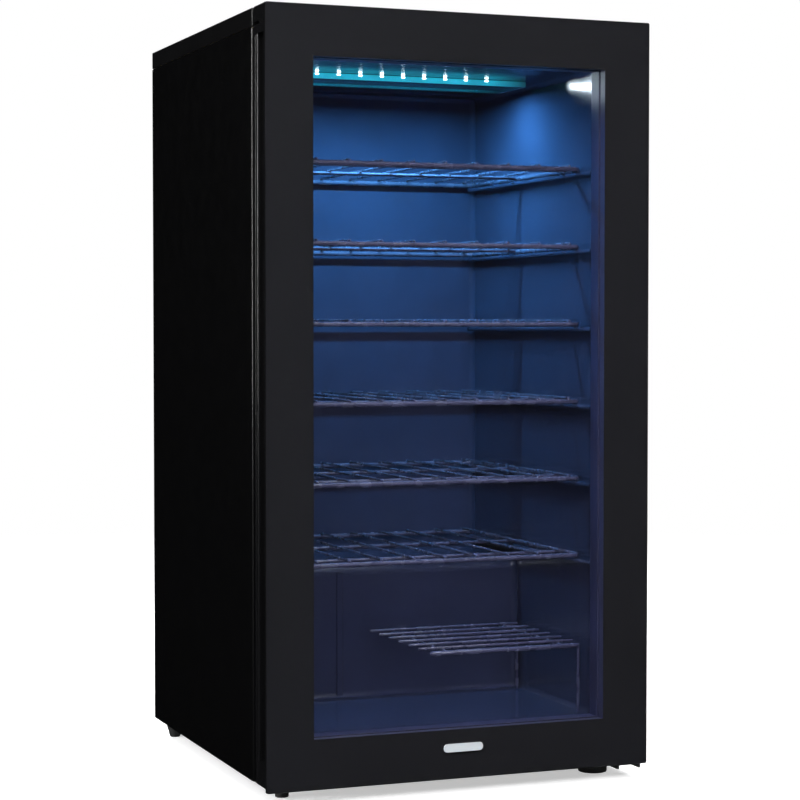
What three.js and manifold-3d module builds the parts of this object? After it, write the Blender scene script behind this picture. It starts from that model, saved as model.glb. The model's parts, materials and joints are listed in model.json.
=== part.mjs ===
// Free-standing wine cooler with one glass door, six sliding wire shelves and a lower bottle rack.
// Millimetres, +Z up. The origin is on the floor under the middle of the cooler, and the door faces -Y.
// Most places are given as [x, depth, z], where depth is the distance behind the door's front face.
// GAP is left between pieces that touch, and cutting tools overrun the faces that they cut.
import * as THREE from "three";
import { mergeVertices } from "three/addons/utils/BufferGeometryUtils.js";
import Module from "manifold-3d";

const wasm = await Module();
wasm.setup();

// ---------- Driving dimensions ----------
const WIDTH = 448;
const HEIGHT = 846;
const DOOR_FACE_Y = -250; // y of the door's front face
const REAR = 500; // depth of the wall spacers' tips, the rearmost points
const GAP = 0.3; // clearance between pieces that touch
const HALF = WIDTH / 2;

const SHEET = 1; // steel sheet
const CABINET_FRONT = 47;
const CABINET_BACK = 457;
const CABINET_FOOT = 22; // height of the side panels' lower edge
const DECK_TOP = 826; // top of the steel deck under the plastic top cover
const PANEL_TOP = 824.7; // upper edge of the side panels
const FLANGE = 14; // width of the folded front edge of the side panels
const PANEL_HALF = HALF - SHEET - GAP; // half width of what fits between the side panels
const LIP_HALF = HALF - FLANGE - GAP; // half width of what fits between their folded edges
const DECK_LIP_FOOT = 812;
const LID_WALL = 3;

const BASE_FOOT = CABINET_FOOT + GAP;
const BASE_TOP = BASE_FOOT + 1.2;
const RAIL_FOOT = BASE_TOP + GAP;
const RAIL_TOP = 33.6;
const RAIL_BACK = 100;
const FRAME_FACE = CABINET_FRONT + 1.4; // front of what lies behind the liner's flange
const INNER_BACK = CABINET_BACK - SHEET - GAP; // rearmost depth inside the folded side panels
const BACK_SHEET = 458; // depth of the back panel's rear face
const BASE_LIP = { half: 200, back: 464 };

const CAVITY_HALF = 192;
const CAVITY_FLOOR = 61.5;
const CAVITY_CEILING = 801.5;
const CAVITY_BACK = 422;
const HUMP_FACE = 290; // the step over the compressor
const HUMP_TOP = 226;
const HUMP_CHAMFER = 10;
const LINER = 1.5; // wall of the plastic liner
const FOAM_FLOOR = 34;

const COMPARTMENT_FACE = 320; // foam face in front of the compressor
const COMPARTMENT_CEILING = 194;
const COMPARTMENT_BEND = 10;

const SHELF_COUNT = 6;
const SHELF_PITCH = 88.9;
const TOP_SHELF_Z = 689.2; // middle of the top shelf's front bar
const SHELF_FRONT = 96.5;
const SHELF_BACK = 416;
const SHELF_HALF = 188.2;
const WIRE = 3;
const WIRE_PITCH = 38.35; // two wires cradle one bottle
const LONG_WIRES = 10;
const CROSS_WIRES = [136, 272, 412];
const RIB_DEPTH = 12; // how far the liner's shelf ribs stand out
const RIB_FRONT = 60;
const RIB_HEIGHT = 5;
const LINER_FLANGE = 1.1; // thickness of the flange round the liner's mouth
const CONDUIT = { x: [-44, -36], proud: 2, top: 214 }; // cable channel on the step's face

const DOOR_FOOT = 18;
const DOOR_BACK = 40;
const PANE = 4;
const BORDER = 53.5; // printed border of the door glass, outside the window
const WINDOW_HALF = HALF - BORDER;
const WINDOW_FOOT = DOOR_FOOT + BORDER;
const WINDOW_TOP = HEIGHT - BORDER;
const CAP = 30; // height of the full-width part of the door's top and bottom rails
const FRAME_HALF = HALF - GAP;
const REAR_PANE_HALF = 199.7;
const REAR_PANE_MARGIN = 29.5; // from the rear pane's edge to the window's edge, top and bottom
const REAR_PANE_BACK = 20.3;
const GRIP_FRONT = 8; // finger groove along the door's side
const GRIP_BACK = 28.4;
const GRIP_FLOOR_X = 210;

const PIN_X = -208;
const PIN_DEPTH = 20;
const PIN_R = 4;
const BRACKET = 3; // thickness of the hinge brackets
const ARM_HALF = 8;
const TOP_BRACKET_Z = DECK_TOP + GAP;
const LOW_BRACKET_Z = 18.9;
const PIN_REACH = 8; // how far a pin stands into the door's rail
const BRACKET_DEPTHS = [58, 110]; // the plate that is screwed to the cabinet
const TOP_PLATE_END = -120; // inner end of that plate
const LOW_PLATE_END = -150;
const BUSH_R = 7;

const FOOT_X = 187;
const FOOT_DEPTH = 62;
const STUD_R = 4;
const STUD_TOP = 33;
const SLIM_PAD = [7.5, 14]; // radius and height
const WIDE_PAD = [16.5, 9];
const REAR_FOOT = { x: 203, depth: 437, footR: 6.5, topR: 12 };

const COMPRESSOR_X = 40;
const COMPRESSOR_DEPTH = 388;
const COMPRESSOR_TOP = 160;
const MOUNT_X = 74; // half spacing of the compressor's rubber mounts
const MOUNT_DEPTH = 35;
const SHELL_OVAL = 1.2; // how much wider the compressor's shell is than deep

const COIL_DEPTH = 478;
const COIL_HALF = 150;
const COIL_FOOT = 262;
const COIL_PITCH = 48;
const COIL_RUNS = 11;
const COIL_R = 3;

// ---------- Shape helpers ----------
const y = (depth) => DOOR_FACE_Y + depth;

function solidOf(geometry) {
  const bare = geometry.clone();
  for (const name of Object.keys(bare.attributes)) {
    if (name !== "position") bare.deleteAttribute(name);
  }
  const merged = mergeVertices(bare, 1e-4);
  return new wasm.Manifold(
    new wasm.Mesh({
      numProp: 3,
      vertProperties: merged.attributes.position.array,
      triVerts: new Uint32Array(merged.index.array),
    }),
  );
}

function geometryOf(solid) {
  const mesh = solid.getMesh();
  const geometry = new THREE.BufferGeometry();
  geometry.setAttribute("position", new THREE.BufferAttribute(mesh.vertProperties, 3));
  geometry.setIndex(new THREE.BufferAttribute(mesh.triVerts, 1));
  geometry.computeVertexNormals();
  return geometry;
}

const join = (...solids) => solids.reduce((whole, part) => whole.add(part));
const cut = (body, ...tools) => tools.reduce((rest, tool) => rest.subtract(tool), body);

// Sets one coordinate of every vertex to exactly the lower or the upper limit, whichever is on its side.
function stretch(geometry, axis, limits) {
  const [low, high] = [...limits].sort((a, b) => a - b);
  const place = geometry.attributes.position;
  geometry.computeBoundingBox();
  const middle = geometry.boundingBox.getCenter(new THREE.Vector3()).getComponent(axis);
  for (let i = 0; i < place.count; i++) {
    place.setComponent(i, axis, place.getComponent(i, axis) < middle ? low : high);
  }
  return geometry;
}

// A box from its two limits in x, depth and z, in either order.
function block(x, depths, z) {
  const geometry = new THREE.BoxGeometry(1, 1, 1);
  [x, depths.map(y), z].forEach((limits, axis) => stretch(geometry, axis, limits));
  return solidOf(geometry);
}

// An outline of [depth, z] points, drawn across the cooler between two places in x.
function acrossX(outline, x) {
  const shape = new THREE.Shape(outline.map(([d, z]) => new THREE.Vector2(y(d), z)));
  const geometry = new THREE.ExtrudeGeometry(shape, { depth: 1, bevelEnabled: false });
  geometry.applyMatrix4(new THREE.Matrix4().set(0, 0, 1, 0, 1, 0, 0, 0, 0, 1, 0, 0, 0, 0, 0, 1));
  return solidOf(stretch(geometry, 0, x));
}

// An outline of [x, depth] points, drawn upwards between two heights.
function alongZ(outline, z) {
  const shape = new THREE.Shape(outline.map(([x, d]) => new THREE.Vector2(x, y(d))));
  const geometry = new THREE.ExtrudeGeometry(shape, { depth: 1, bevelEnabled: false });
  return solidOf(stretch(geometry, 2, z));
}

// A round bar on a vertical axis.
function post(x, depth, z, radius, sides = 16) {
  const geometry = new THREE.CylinderGeometry(radius, radius, 1, sides);
  geometry.rotateX(Math.PI / 2);
  geometry.translate(x, y(depth), 0);
  return solidOf(stretch(geometry, 2, z));
}

// A round bar on an axis that runs from front to back.
function spindle(x, depths, z, radius, sides = 16) {
  const geometry = new THREE.CylinderGeometry(radius, radius, 1, sides);
  geometry.translate(x, 0, z);
  return solidOf(stretch(geometry, 1, depths.map(y)));
}

// A profile of [radius, z] points turned about the Z axis; the profile starts and ends on the axis.
function turned(profile, sides) {
  const points = profile.map(([r, z]) => new THREE.Vector2(r, z));
  const geometry = new THREE.LatheGeometry(points, sides);
  geometry.rotateX(Math.PI / 2);
  return solidOf(geometry);
}

// A curve that steps from point to point, so a tube along it bends only where its points are.
class Route extends THREE.Curve {
  constructor(points) {
    super();
    this.points = points;
  }
  getPoint(t, target = new THREE.Vector3()) {
    const last = this.points.length - 1;
    const i = Math.min(Math.floor(t * last + 1e-6), last - 1);
    return target.lerpVectors(this.points[i], this.points[i + 1], t * last - i);
  }
  getPointAt(u, target) {
    return this.getPoint(u, target);
  }
  getTangentAt(u, target = new THREE.Vector3()) {
    const last = this.points.length - 1;
    const i = Math.round(u * last);
    const before = this.points[Math.max(i - 1, 0)];
    const here = this.points[i];
    const after = this.points[Math.min(i + 1, last)];
    const arriving = here.clone().sub(before).normalize();
    const leaving = after.clone().sub(here).normalize();
    return target.addVectors(arriving, leaving).normalize();
  }
}

// [x, depth, z] corners with each inner corner rounded off.
function rounded(corners, radius, steps = 3) {
  const at = corners.map(([x, d, z]) => new THREE.Vector3(x, y(d), z));
  const points = [at[0]];
  for (let i = 1; i < at.length - 1; i++) {
    const toward = at[i - 1].clone().sub(at[i]);
    const away = at[i + 1].clone().sub(at[i]);
    const reach = Math.min(radius, toward.length() / 2, away.length() / 2);
    const from = at[i].clone().addScaledVector(toward.normalize(), reach);
    const to = at[i].clone().addScaledVector(away.normalize(), reach);
    const bend = new THREE.QuadraticBezierCurve3(from, at[i], to);
    points.push(...bend.getPoints(steps));
  }
  points.push(at.at(-1));
  return points;
}

function tube(points, radius, sides = 8) {
  const section = new THREE.Shape();
  for (let i = 0; i < sides; i++) {
    const angle = (2 * Math.PI * i) / sides;
    const [u, v] = [radius * Math.cos(angle), radius * Math.sin(angle)];
    if (i) section.lineTo(u, v);
    else section.moveTo(u, v);
  }
  const extrudePath = new Route(points);
  const steps = points.length - 1;
  return solidOf(new THREE.ExtrudeGeometry(section, { steps, extrudePath, bevelEnabled: false }));
}

const finish = (color, roughness, metalness) =>
  new THREE.MeshStandardMaterial({ color, roughness, metalness });

const FINISH = {
  blackSteel: finish(0x0b0b0d, 0.45, 0.2),
  blackPlastic: finish(0x121214, 0.5, 0),
  glass: finish(0x1b1d22, 0.05, 0),
  liner: finish(0x1c2240, 0.25, 0),
  foam: finish(0xd9c98a, 0.9, 0),
  galvanised: finish(0x9a9ea3, 0.45, 0.9),
  shelfWire: finish(0x1a1a22, 0.35, 0.4),
  rubber: finish(0x151515, 0.85, 0),
  copper: finish(0xb06a3c, 0.35, 1),
  aluminium: finish(0xb9bcc0, 0.4, 1),
  whitePlastic: finish(0xe4e7ea, 0.5, 0),
  circuit: finish(0xf2f4f5, 0.6, 0),
  lens: finish(0x9fe6f2, 0.15, 0),
};

const cooler = new THREE.Group();

function add(name, solid, material, [x, depth, z] = [0, -DOOR_FACE_Y, 0]) {
  const mesh = new THREE.Mesh(geometryOf(solid), material);
  mesh.name = name;
  mesh.position.set(x, y(depth), z);
  cooler.add(mesh);
}

// ---------- Cabinet shell ----------
// A side sheet with its front and back edges folded inwards.
function sidePanel(side) {
  const [outer, inner, edge] = [HALF, HALF - SHEET, HALF - FLANGE];
  const outline = [
    [outer, CABINET_FRONT],
    [outer, CABINET_BACK],
    [edge, CABINET_BACK],
    [edge, CABINET_BACK - SHEET],
    [inner, CABINET_BACK - SHEET],
    [inner, CABINET_FRONT + SHEET],
    [edge, CABINET_FRONT + SHEET],
    [edge, CABINET_FRONT],
  ];
  return alongZ(outline.map(([x, d]) => [side * x, d]), [CABINET_FOOT, PANEL_TOP]);
}

function topDeck() {
  const depths = [CABINET_FRONT, CABINET_BACK];
  const deck = block([-PANEL_HALF, PANEL_HALF], depths, [DECK_TOP - SHEET, DECK_TOP]);
  const lipDepths = [CABINET_FRONT, CABINET_FRONT + SHEET];
  const lip = block([-LIP_HALF, LIP_HALF], lipDepths, [DECK_LIP_FOOT, DECK_TOP - SHEET / 2]);
  return join(deck, lip);
}

function topCover() {
  const half = HALF - 0.5;
  const wall = LID_WALL;
  const back = BACK_SHEET;
  const shell = block([-half, half], [CABINET_FRONT, back], [DECK_TOP + GAP, HEIGHT]);
  const hollow = block(
    [-half + wall, half - wall],
    [CABINET_FRONT + wall, back - wall],
    [DECK_TOP, HEIGHT - wall],
  );
  const hingeNotch = block(
    [PIN_X - ARM_HALF - 1, PIN_X + ARM_HALF + 1],
    [CABINET_FRONT - 1, CABINET_FRONT + wall + 1],
    [DECK_TOP, TOP_BRACKET_Z + BRACKET + GAP],
  );
  return cut(shell, hollow, hingeNotch);
}

// The cavity's outline in [depth, z], grown outwards by grow; it is open at the front.
function cavityOutline(front, grow) {
  const mitre = grow * Math.tan(Math.PI / 8);
  return [
    [front, CAVITY_FLOOR - grow],
    [HUMP_FACE + grow, CAVITY_FLOOR - grow],
    [HUMP_FACE + grow, HUMP_TOP - HUMP_CHAMFER - mitre],
    [HUMP_FACE + HUMP_CHAMFER + mitre, HUMP_TOP - grow],
    [CAVITY_BACK + grow, HUMP_TOP - grow],
    [CAVITY_BACK + grow, CAVITY_CEILING + grow],
    [front, CAVITY_CEILING + grow],
  ];
}

const DRAIN = { x: 0, depth: 411, r: 5, foot: 186.5 };
const SUCTION = { x: 138, depth: 440, r: 4, top: 400 };
const EVAPORATOR = { half: 146, front: 424.2, back: 425.7, foot: 330, top: 760 };

const shelfZ = (i) => TOP_SHELF_Z - i * SHELF_PITCH;

function innerLiner() {
  const shell = acrossX(cavityOutline(CABINET_FRONT, LINER), [-CAVITY_HALF - LINER, CAVITY_HALF + LINER]);
  const flangeDepths = [CABINET_FRONT, CABINET_FRONT + LINER_FLANGE];
  const flange = block([-LIP_HALF, LIP_HALF], flangeDepths, [FOAM_FLOOR, DECK_LIP_FOOT - GAP]);
  const cavity = acrossX(cavityOutline(CABINET_FRONT - 5, 0), [-CAVITY_HALF, CAVITY_HALF]);
  const drain = post(DRAIN.x, DRAIN.depth, [HUMP_TOP - 5, HUMP_TOP + 5], DRAIN.r, 12);
  let liner = cut(join(shell, flange), cavity, drain);
  for (let i = 0; i < SHELF_COUNT; i++) {
    const top = shelfZ(i) - WIRE - GAP;
    for (const side of [-1, 1]) {
      const reach = [side * (CAVITY_HALF - RIB_DEPTH), side * (CAVITY_HALF + 0.5)];
      liner = liner.add(block(reach, [RIB_FRONT, SHELF_BACK], [top - RIB_HEIGHT, top]));
    }
  }
  const channelDepths = [HUMP_FACE - CONDUIT.proud, HUMP_FACE + 0.5];
  return liner.add(block(CONDUIT.x, channelDepths, [CAVITY_FLOOR - 0.5, CONDUIT.top]));
}

function insulationFoam() {
  const front = CABINET_FRONT + LINER_FLANGE + GAP;
  const back = INNER_BACK;
  const body = block([-PANEL_HALF, PANEL_HALF], [front, back], [FOAM_FLOOR, DECK_TOP - SHEET - GAP]);
  const grow = LINER + GAP;
  const linerSpace = acrossX(cavityOutline(front - 5, grow), [-CAVITY_HALF - grow, CAVITY_HALF + grow]);
  const compartment = acrossX(
    [
      [COMPARTMENT_FACE, FOAM_FLOOR - 5],
      [COMPARTMENT_FACE, COMPARTMENT_CEILING - COMPARTMENT_BEND],
      [COMPARTMENT_FACE + COMPARTMENT_BEND, COMPARTMENT_CEILING],
      [back + 5, COMPARTMENT_CEILING],
      [back + 5, FOAM_FLOOR - 5],
    ],
    [-HALF, HALF],
  );
  const evaporatorSlot = block(
    [-EVAPORATOR.half - GAP, EVAPORATOR.half + GAP],
    [CAVITY_BACK + 1, EVAPORATOR.back + GAP],
    [EVAPORATOR.foot - GAP, EVAPORATOR.top + GAP],
  );
  const ceiling = COMPARTMENT_CEILING - 1;
  const suctionWay = post(SUCTION.x, SUCTION.depth, [ceiling, SUCTION.top + 1], SUCTION.r + 0.5, 8);
  const drainWay = post(DRAIN.x, DRAIN.depth, [ceiling, HUMP_TOP], DRAIN.r + 1.5, 12);
  return cut(body, linerSpace, compartment, evaporatorSlot, suctionWay, drainWay);
}

// The bent steel sheet that closes the foam above and in front of the compressor.
function compartmentPanel() {
  const [face, ceiling, bend] = [COMPARTMENT_FACE + GAP, COMPARTMENT_CEILING - GAP, COMPARTMENT_BEND];
  const foot = BASE_TOP + 0.5;
  const mitre = 0.4 * SHEET;
  const sheet = acrossX(
    [
      [face, foot],
      [face, ceiling - bend],
      [face + bend, ceiling],
      [INNER_BACK, ceiling],
      [INNER_BACK, ceiling - SHEET],
      [face + bend + mitre, ceiling - SHEET],
      [face + SHEET, ceiling - bend - mitre],
      [face + SHEET, foot],
    ],
    [-PANEL_HALF, PANEL_HALF],
  );
  const reach = [ceiling - 5, ceiling + 5];
  return cut(
    sheet,
    post(DRAIN.x, DRAIN.depth, reach, DRAIN.r + 1.5, 12),
    post(SUCTION.x, SUCTION.depth, reach, SUCTION.r + 1.5, 12),
  );
}

const footHole = (side, z) => post(side * FOOT_X, FOOT_DEPTH, z, STUD_R + 0.5, 12);

function basePlate() {
  const level = [BASE_FOOT, BASE_TOP];
  const reach = [BASE_FOOT - 2, BASE_TOP + 2];
  const plate = block([-PANEL_HALF, PANEL_HALF], [FRAME_FACE, INNER_BACK], level);
  const lip = block([-BASE_LIP.half, BASE_LIP.half], [INNER_BACK - 5, BASE_LIP.back], level);
  return cut(join(plate, lip), footHole(-1, reach), footHole(1, reach));
}

function frontBaseRail() {
  const level = [RAIL_FOOT, RAIL_TOP];
  const reach = [RAIL_FOOT - 2, RAIL_TOP + 2];
  const half = HALF - 2.5;
  const bar = block([-half, half], [FRAME_FACE, RAIL_BACK], level);
  const apron = block([-LIP_HALF, LIP_HALF], [CABINET_FRONT, CABINET_FRONT + 3], level);
  return cut(join(bar, apron), footHole(-1, reach), footHole(1, reach));
}

add("side_panel_left", sidePanel(-1), FINISH.blackSteel);
add("side_panel_right", sidePanel(1), FINISH.blackSteel);
add("top_deck", topDeck(), FINISH.galvanised);
add("top_cover", topCover(), FINISH.blackPlastic);
const BACK_PANEL = { half: 221, foot: 186, top: 820 };
add(
  "back_panel",
  block(
    [-BACK_PANEL.half, BACK_PANEL.half],
    [CABINET_BACK + GAP, BACK_SHEET],
    [BACK_PANEL.foot, BACK_PANEL.top],
  ),
  FINISH.blackSteel,
);
add("inner_liner", innerLiner(), FINISH.liner);
add("insulation_foam", insulationFoam(), FINISH.foam);
add("compartment_panel", compartmentPanel(), FINISH.galvanised);
add("base_plate", basePlate(), FINISH.galvanised);
add("front_base_rail", frontBaseRail(), FINISH.blackPlastic);

// ---------- Feet ----------
function levellingFoot([padRadius, padHeight]) {
  return turned(
    [
      [0, 0],
      [padRadius - 1, 0],
      [padRadius, 1],
      [padRadius, padHeight - 1.5],
      [padRadius - 1.5, padHeight],
      [STUD_R, padHeight],
      [STUD_R, STUD_TOP],
      [0, STUD_TOP],
    ],
    20,
  );
}

function fixedFoot() {
  const { footR, topR } = REAR_FOOT;
  return turned([[0, 0], [footR, 0], [topR, CABINET_FOOT], [0, CABINET_FOOT]], 16);
}

add("foot_front_left", levellingFoot(SLIM_PAD), FINISH.blackPlastic, [-FOOT_X, FOOT_DEPTH, 0]);
add("foot_front_right", levellingFoot(WIDE_PAD), FINISH.blackPlastic, [FOOT_X, FOOT_DEPTH, 0]);
add("foot_rear_left", fixedFoot(), FINISH.blackPlastic, [-REAR_FOOT.x, REAR_FOOT.depth, 0]);
add("foot_rear_right", fixedFoot(), FINISH.blackPlastic, [REAR_FOOT.x, REAR_FOOT.depth, 0]);

// ---------- Hinges ----------
// An arm with the pin at its front end, on a plate that reaches inwards to plateEnd.
function hingeBracket(z, plateEnd, pinSpan, studHole) {
  const level = [z, z + BRACKET];
  const arm = block([PIN_X - ARM_HALF, PIN_X + ARM_HALF], [PIN_DEPTH, BRACKET_DEPTHS[1]], level);
  const nose = post(PIN_X, PIN_DEPTH, level, ARM_HALF, 24);
  const foot = block([PIN_X - ARM_HALF, plateEnd], BRACKET_DEPTHS, level);
  const pin = post(PIN_X, PIN_DEPTH, pinSpan, PIN_R, 24);
  const bracket = join(arm, nose, foot, pin);
  return studHole ? cut(bracket, footHole(-1, [z - 5, z + 8])) : bracket;
}

const topPinEnd = TOP_BRACKET_Z - PIN_REACH;
const lowPinEnd = LOW_BRACKET_Z + BRACKET + PIN_REACH + 1;
const topPin = [topPinEnd, TOP_BRACKET_Z + 1];
const lowPin = [LOW_BRACKET_Z + 1, lowPinEnd];
add("top_hinge_bracket", hingeBracket(TOP_BRACKET_Z, TOP_PLATE_END, topPin, false), FINISH.galvanised);
add("bottom_hinge_bracket", hingeBracket(LOW_BRACKET_Z, LOW_PLATE_END, lowPin, true), FINISH.galvanised);

// ---------- Cooling circuit ----------
const COMPRESSOR_LEGS = [31, 34]; // lower and upper face of the foot plate

function compressor() {
  const profile = [
    [0, 33],
    [40, 33],
    [52, 42],
    [57, 56],
    [58, 80],
    [58, 122],
    [55, 138],
    [44, 151],
    [26, 158],
    [0, COMPRESSOR_TOP],
  ];
  const dome = turned(profile, 20).scale([SHELL_OVAL, 1, 1]);
  const shell = dome.translate([COMPRESSOR_X, y(COMPRESSOR_DEPTH), 0]);
  const reachX = MOUNT_X + 12;
  const reachDepth = MOUNT_DEPTH + 10;
  const legs = block(
    [COMPRESSOR_X - reachX, COMPRESSOR_X + reachX],
    [COMPRESSOR_DEPTH - reachDepth, COMPRESSOR_DEPTH + reachDepth],
    COMPRESSOR_LEGS,
  );
  let body = join(shell, legs);
  for (const [x, depth] of mountPlaces()) {
    body = body.subtract(post(x, depth, [COMPRESSOR_LEGS[0] - 5, COMPRESSOR_LEGS[1] + 5], 7, 12));
  }
  return body;
}

function mountPlaces() {
  const places = [];
  for (const sx of [-1, 1]) {
    for (const sd of [-1, 1]) {
      places.push([COMPRESSOR_X + sx * MOUNT_X, COMPRESSOR_DEPTH + sd * MOUNT_DEPTH]);
    }
  }
  return places;
}

// A grommet: its neck passes through the foot plate, between a thick base and a thin head.
function rubberMount() {
  const [baseR, neckR, headR] = [10, 6.5, 9];
  const neckFoot = COMPRESSOR_LEGS[0] - 0.4;
  const neckTop = COMPRESSOR_LEGS[1] + 0.4;
  const top = neckTop + 2.6;
  return turned(
    [
      [0, RAIL_FOOT],
      [baseR, RAIL_FOOT],
      [baseR, neckFoot],
      [neckR, neckFoot],
      [neckR, neckTop],
      [headR, neckTop],
      [headR - 1, top],
      [0, top],
    ],
    12,
  );
}

function dripTray() {
  const [x0, x1] = [COMPRESSOR_X - 60, COMPRESSOR_X + 60];
  const [d0, d1] = [COMPRESSOR_DEPTH - 48, COMPRESSOR_DEPTH + 48];
  const foot = COMPRESSOR_TOP + GAP;
  const [height, wall] = [22, 2];
  const tray = block([x0, x1], [d0, d1], [foot, foot + height]);
  const hollow = block([x0 + wall, x1 - wall], [d0 + wall, d1 - wall], [foot + wall, foot + height + 8]);
  return cut(tray, hollow);
}

function drainTube() {
  const span = [DRAIN.foot, HUMP_TOP - LINER - GAP];
  return cut(
    post(DRAIN.x, DRAIN.depth, span, DRAIN.r, 12),
    post(DRAIN.x, DRAIN.depth, [span[0] - 5, span[1] + 5], DRAIN.r - 1.5, 12),
  );
}

// A flat coil of level runs joined by half-circle bends, rising from the lower left.
function condenserCoil() {
  const points = [];
  for (let run = 0; run < COIL_RUNS; run++) {
    const z = COIL_FOOT + run * COIL_PITCH;
    const toward = run % 2 ? -1 : 1;
    points.push(new THREE.Vector3(-toward * COIL_HALF, y(COIL_DEPTH), z));
    points.push(new THREE.Vector3(toward * COIL_HALF, y(COIL_DEPTH), z));
    if (run === COIL_RUNS - 1) break;
    for (let step = 1; step < 6; step++) {
      const angle = (Math.PI * step) / 6 - Math.PI / 2;
      const out = (COIL_PITCH / 2) * Math.cos(angle);
      const up = (COIL_PITCH / 2) * (1 + Math.sin(angle));
      points.push(new THREE.Vector3(toward * (COIL_HALF + out), y(COIL_DEPTH), z + up));
    }
  }
  return tube(points, COIL_R, 6);
}

const COIL_TOP = COIL_FOOT + (COIL_RUNS - 1) * COIL_PITCH;

// Upright wires behind the coil, tied by a bar at each end.
function condenserWires() {
  const [pitch, count, wire, overhang] = [17, 19, 1.8, 3];
  const front = COIL_DEPTH + COIL_R + GAP;
  const span = [COIL_FOOT - 16, COIL_TOP + 16];
  const half = ((count - 1) / 2) * pitch;
  const [lowBar, topBar] = span.map((z) =>
    block([-half - overhang, half + overhang], [front + 1, front + 3], [z - 1, z + 1]),
  );
  let grid = lowBar;
  for (let i = 0; i < count; i++) {
    const x = -half + i * pitch;
    const width = [x - wire / 2, x + wire / 2];
    grid = grid.add(block(width, [front, front + wire], [span[0] - overhang, span[1] + overhang]));
  }
  return grid.add(topBar);
}

// Two upright channels tied by a flat strip at each end, which hold the coil off the back panel.
function condenserFrame() {
  const [front, back] = [BACK_SHEET + GAP, COIL_DEPTH - COIL_R - GAP];
  const [foot, top] = [COIL_FOOT - 12, COIL_TOP + 12];
  const [channelX, half, wall, tie] = [118, 10, 2, 8];
  const ties = [foot, top - tie].map((z) =>
    block([-channelX - wall, channelX + wall], [front, BACK_SHEET + wall], [z, z + tie]),
  );
  const channels = [-channelX, channelX].map((x) => {
    const channel = block([x - half, x + half], [front, back], [foot, top]);
    const inside = [x - half + wall, x + half - wall];
    return cut(channel, block(inside, [front - 5, back - wall], [foot + tie, top - tie]));
  });
  return join(...channels, ...ties);
}

function wallSpacer(side) {
  const [middle, tipHalf, rootHalf] = [740, 18, 50];
  const outline = [
    [BACK_SHEET + GAP, middle - rootHalf],
    [REAR, middle - tipHalf],
    [REAR, middle + tipHalf],
    [BACK_SHEET + GAP, middle + rootHalf],
  ];
  return acrossX(outline, [side * 190, side * 206]);
}

const DRYER = { x: 185, depth: 440, r: 9, neckR: 3, foot: 58, top: 152, shoulder: 10 };

function filterDryer() {
  const { r, neckR, foot, top, shoulder } = DRYER;
  const [low, high] = [foot + shoulder, top - shoulder];
  return turned([[0, foot], [neckR, foot], [r, low], [r, high], [neckR, top], [0, top]], 12);
}

const DISCHARGE = { x: 12, start: 442.5, foot: 82, level: 130, riserX: -172 };
const LIQUID_LEVEL = 172;
const SUCTION_LEVELS = [98, 160];

const pipes = {
  discharge_pipe: tube(
    rounded(
      [
        [DISCHARGE.x, DISCHARGE.start, DISCHARGE.foot],
        [DISCHARGE.x, COIL_DEPTH, DISCHARGE.foot],
        [DISCHARGE.x, COIL_DEPTH, DISCHARGE.level],
        [DISCHARGE.riserX, COIL_DEPTH, DISCHARGE.level],
        [DISCHARGE.riserX, COIL_DEPTH, COIL_FOOT],
        [-COIL_HALF - GAP, COIL_DEPTH, COIL_FOOT],
      ],
      16,
    ),
    COIL_R,
  ),
  liquid_pipe: tube(
    rounded(
      [
        [COIL_HALF + GAP, COIL_DEPTH, COIL_TOP],
        [DRYER.x, COIL_DEPTH, COIL_TOP],
        [DRYER.x, COIL_DEPTH, LIQUID_LEVEL],
        [DRYER.x, DRYER.depth, LIQUID_LEVEL],
        [DRYER.x, DRYER.depth, DRYER.top + GAP],
      ],
      14,
    ),
    COIL_R,
  ),
  suction_pipe: tube(
    rounded(
      [
        [COMPRESSOR_X + 70.2, COMPRESSOR_DEPTH, SUCTION_LEVELS[0]],
        [SUCTION.x, COMPRESSOR_DEPTH, SUCTION_LEVELS[0]],
        [SUCTION.x, COMPRESSOR_DEPTH, SUCTION_LEVELS[1]],
        [SUCTION.x, SUCTION.depth, SUCTION_LEVELS[1]],
        [SUCTION.x, SUCTION.depth, SUCTION.top],
      ],
      18,
    ),
    SUCTION.r,
  ),
};

add("compressor", compressor(), FINISH.blackSteel);
mountPlaces().forEach(([x, depth], i) => {
  add(`compressor_mount_${i + 1}`, rubberMount(), FINISH.rubber, [x, depth, 0]);
});
const shellEnd = COMPRESSOR_X - 70;
add("start_relay_box", block([shellEnd - 32, shellEnd - GAP], [366, 410], [70, 126]), FINISH.blackPlastic);
add("drip_tray", dripTray(), FINISH.blackPlastic);
add("drain_tube", drainTube(), FINISH.rubber);
add("condenser_coil", condenserCoil(), FINISH.blackSteel);
add("condenser_wires", condenserWires(), FINISH.blackSteel);
add("condenser_frame", condenserFrame(), FINISH.blackSteel);
add("wall_spacer_left", wallSpacer(-1), FINISH.blackPlastic);
add("wall_spacer_right", wallSpacer(1), FINISH.blackPlastic);
add("filter_dryer", filterDryer().translate([DRYER.x, y(DRYER.depth), 0]), FINISH.copper);
for (const [name, pipe] of Object.entries(pipes)) add(name, pipe, FINISH.copper);
add(
  "evaporator_plate",
  block(
    [-EVAPORATOR.half, EVAPORATOR.half],
    [EVAPORATOR.front, EVAPORATOR.back],
    [EVAPORATOR.foot, EVAPORATOR.top],
  ),
  FINISH.aluminium,
);

// The clamp and bush in which the mains lead would be held.
const INLET = { x: -190, half: 15, depths: [436, 455], top: 48, boreZ: 36, boreR: 5 };
const inlet = block([INLET.x - INLET.half, INLET.x + INLET.half], INLET.depths, [RAIL_FOOT, INLET.top]);
const inletBore = spindle(INLET.x, [INLET.depths[0] - 5, INLET.depths[1] + 5], INLET.boreZ, INLET.boreR, 12);
add("power_inlet", cut(inlet, inletBore), FINISH.blackPlastic);

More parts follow.
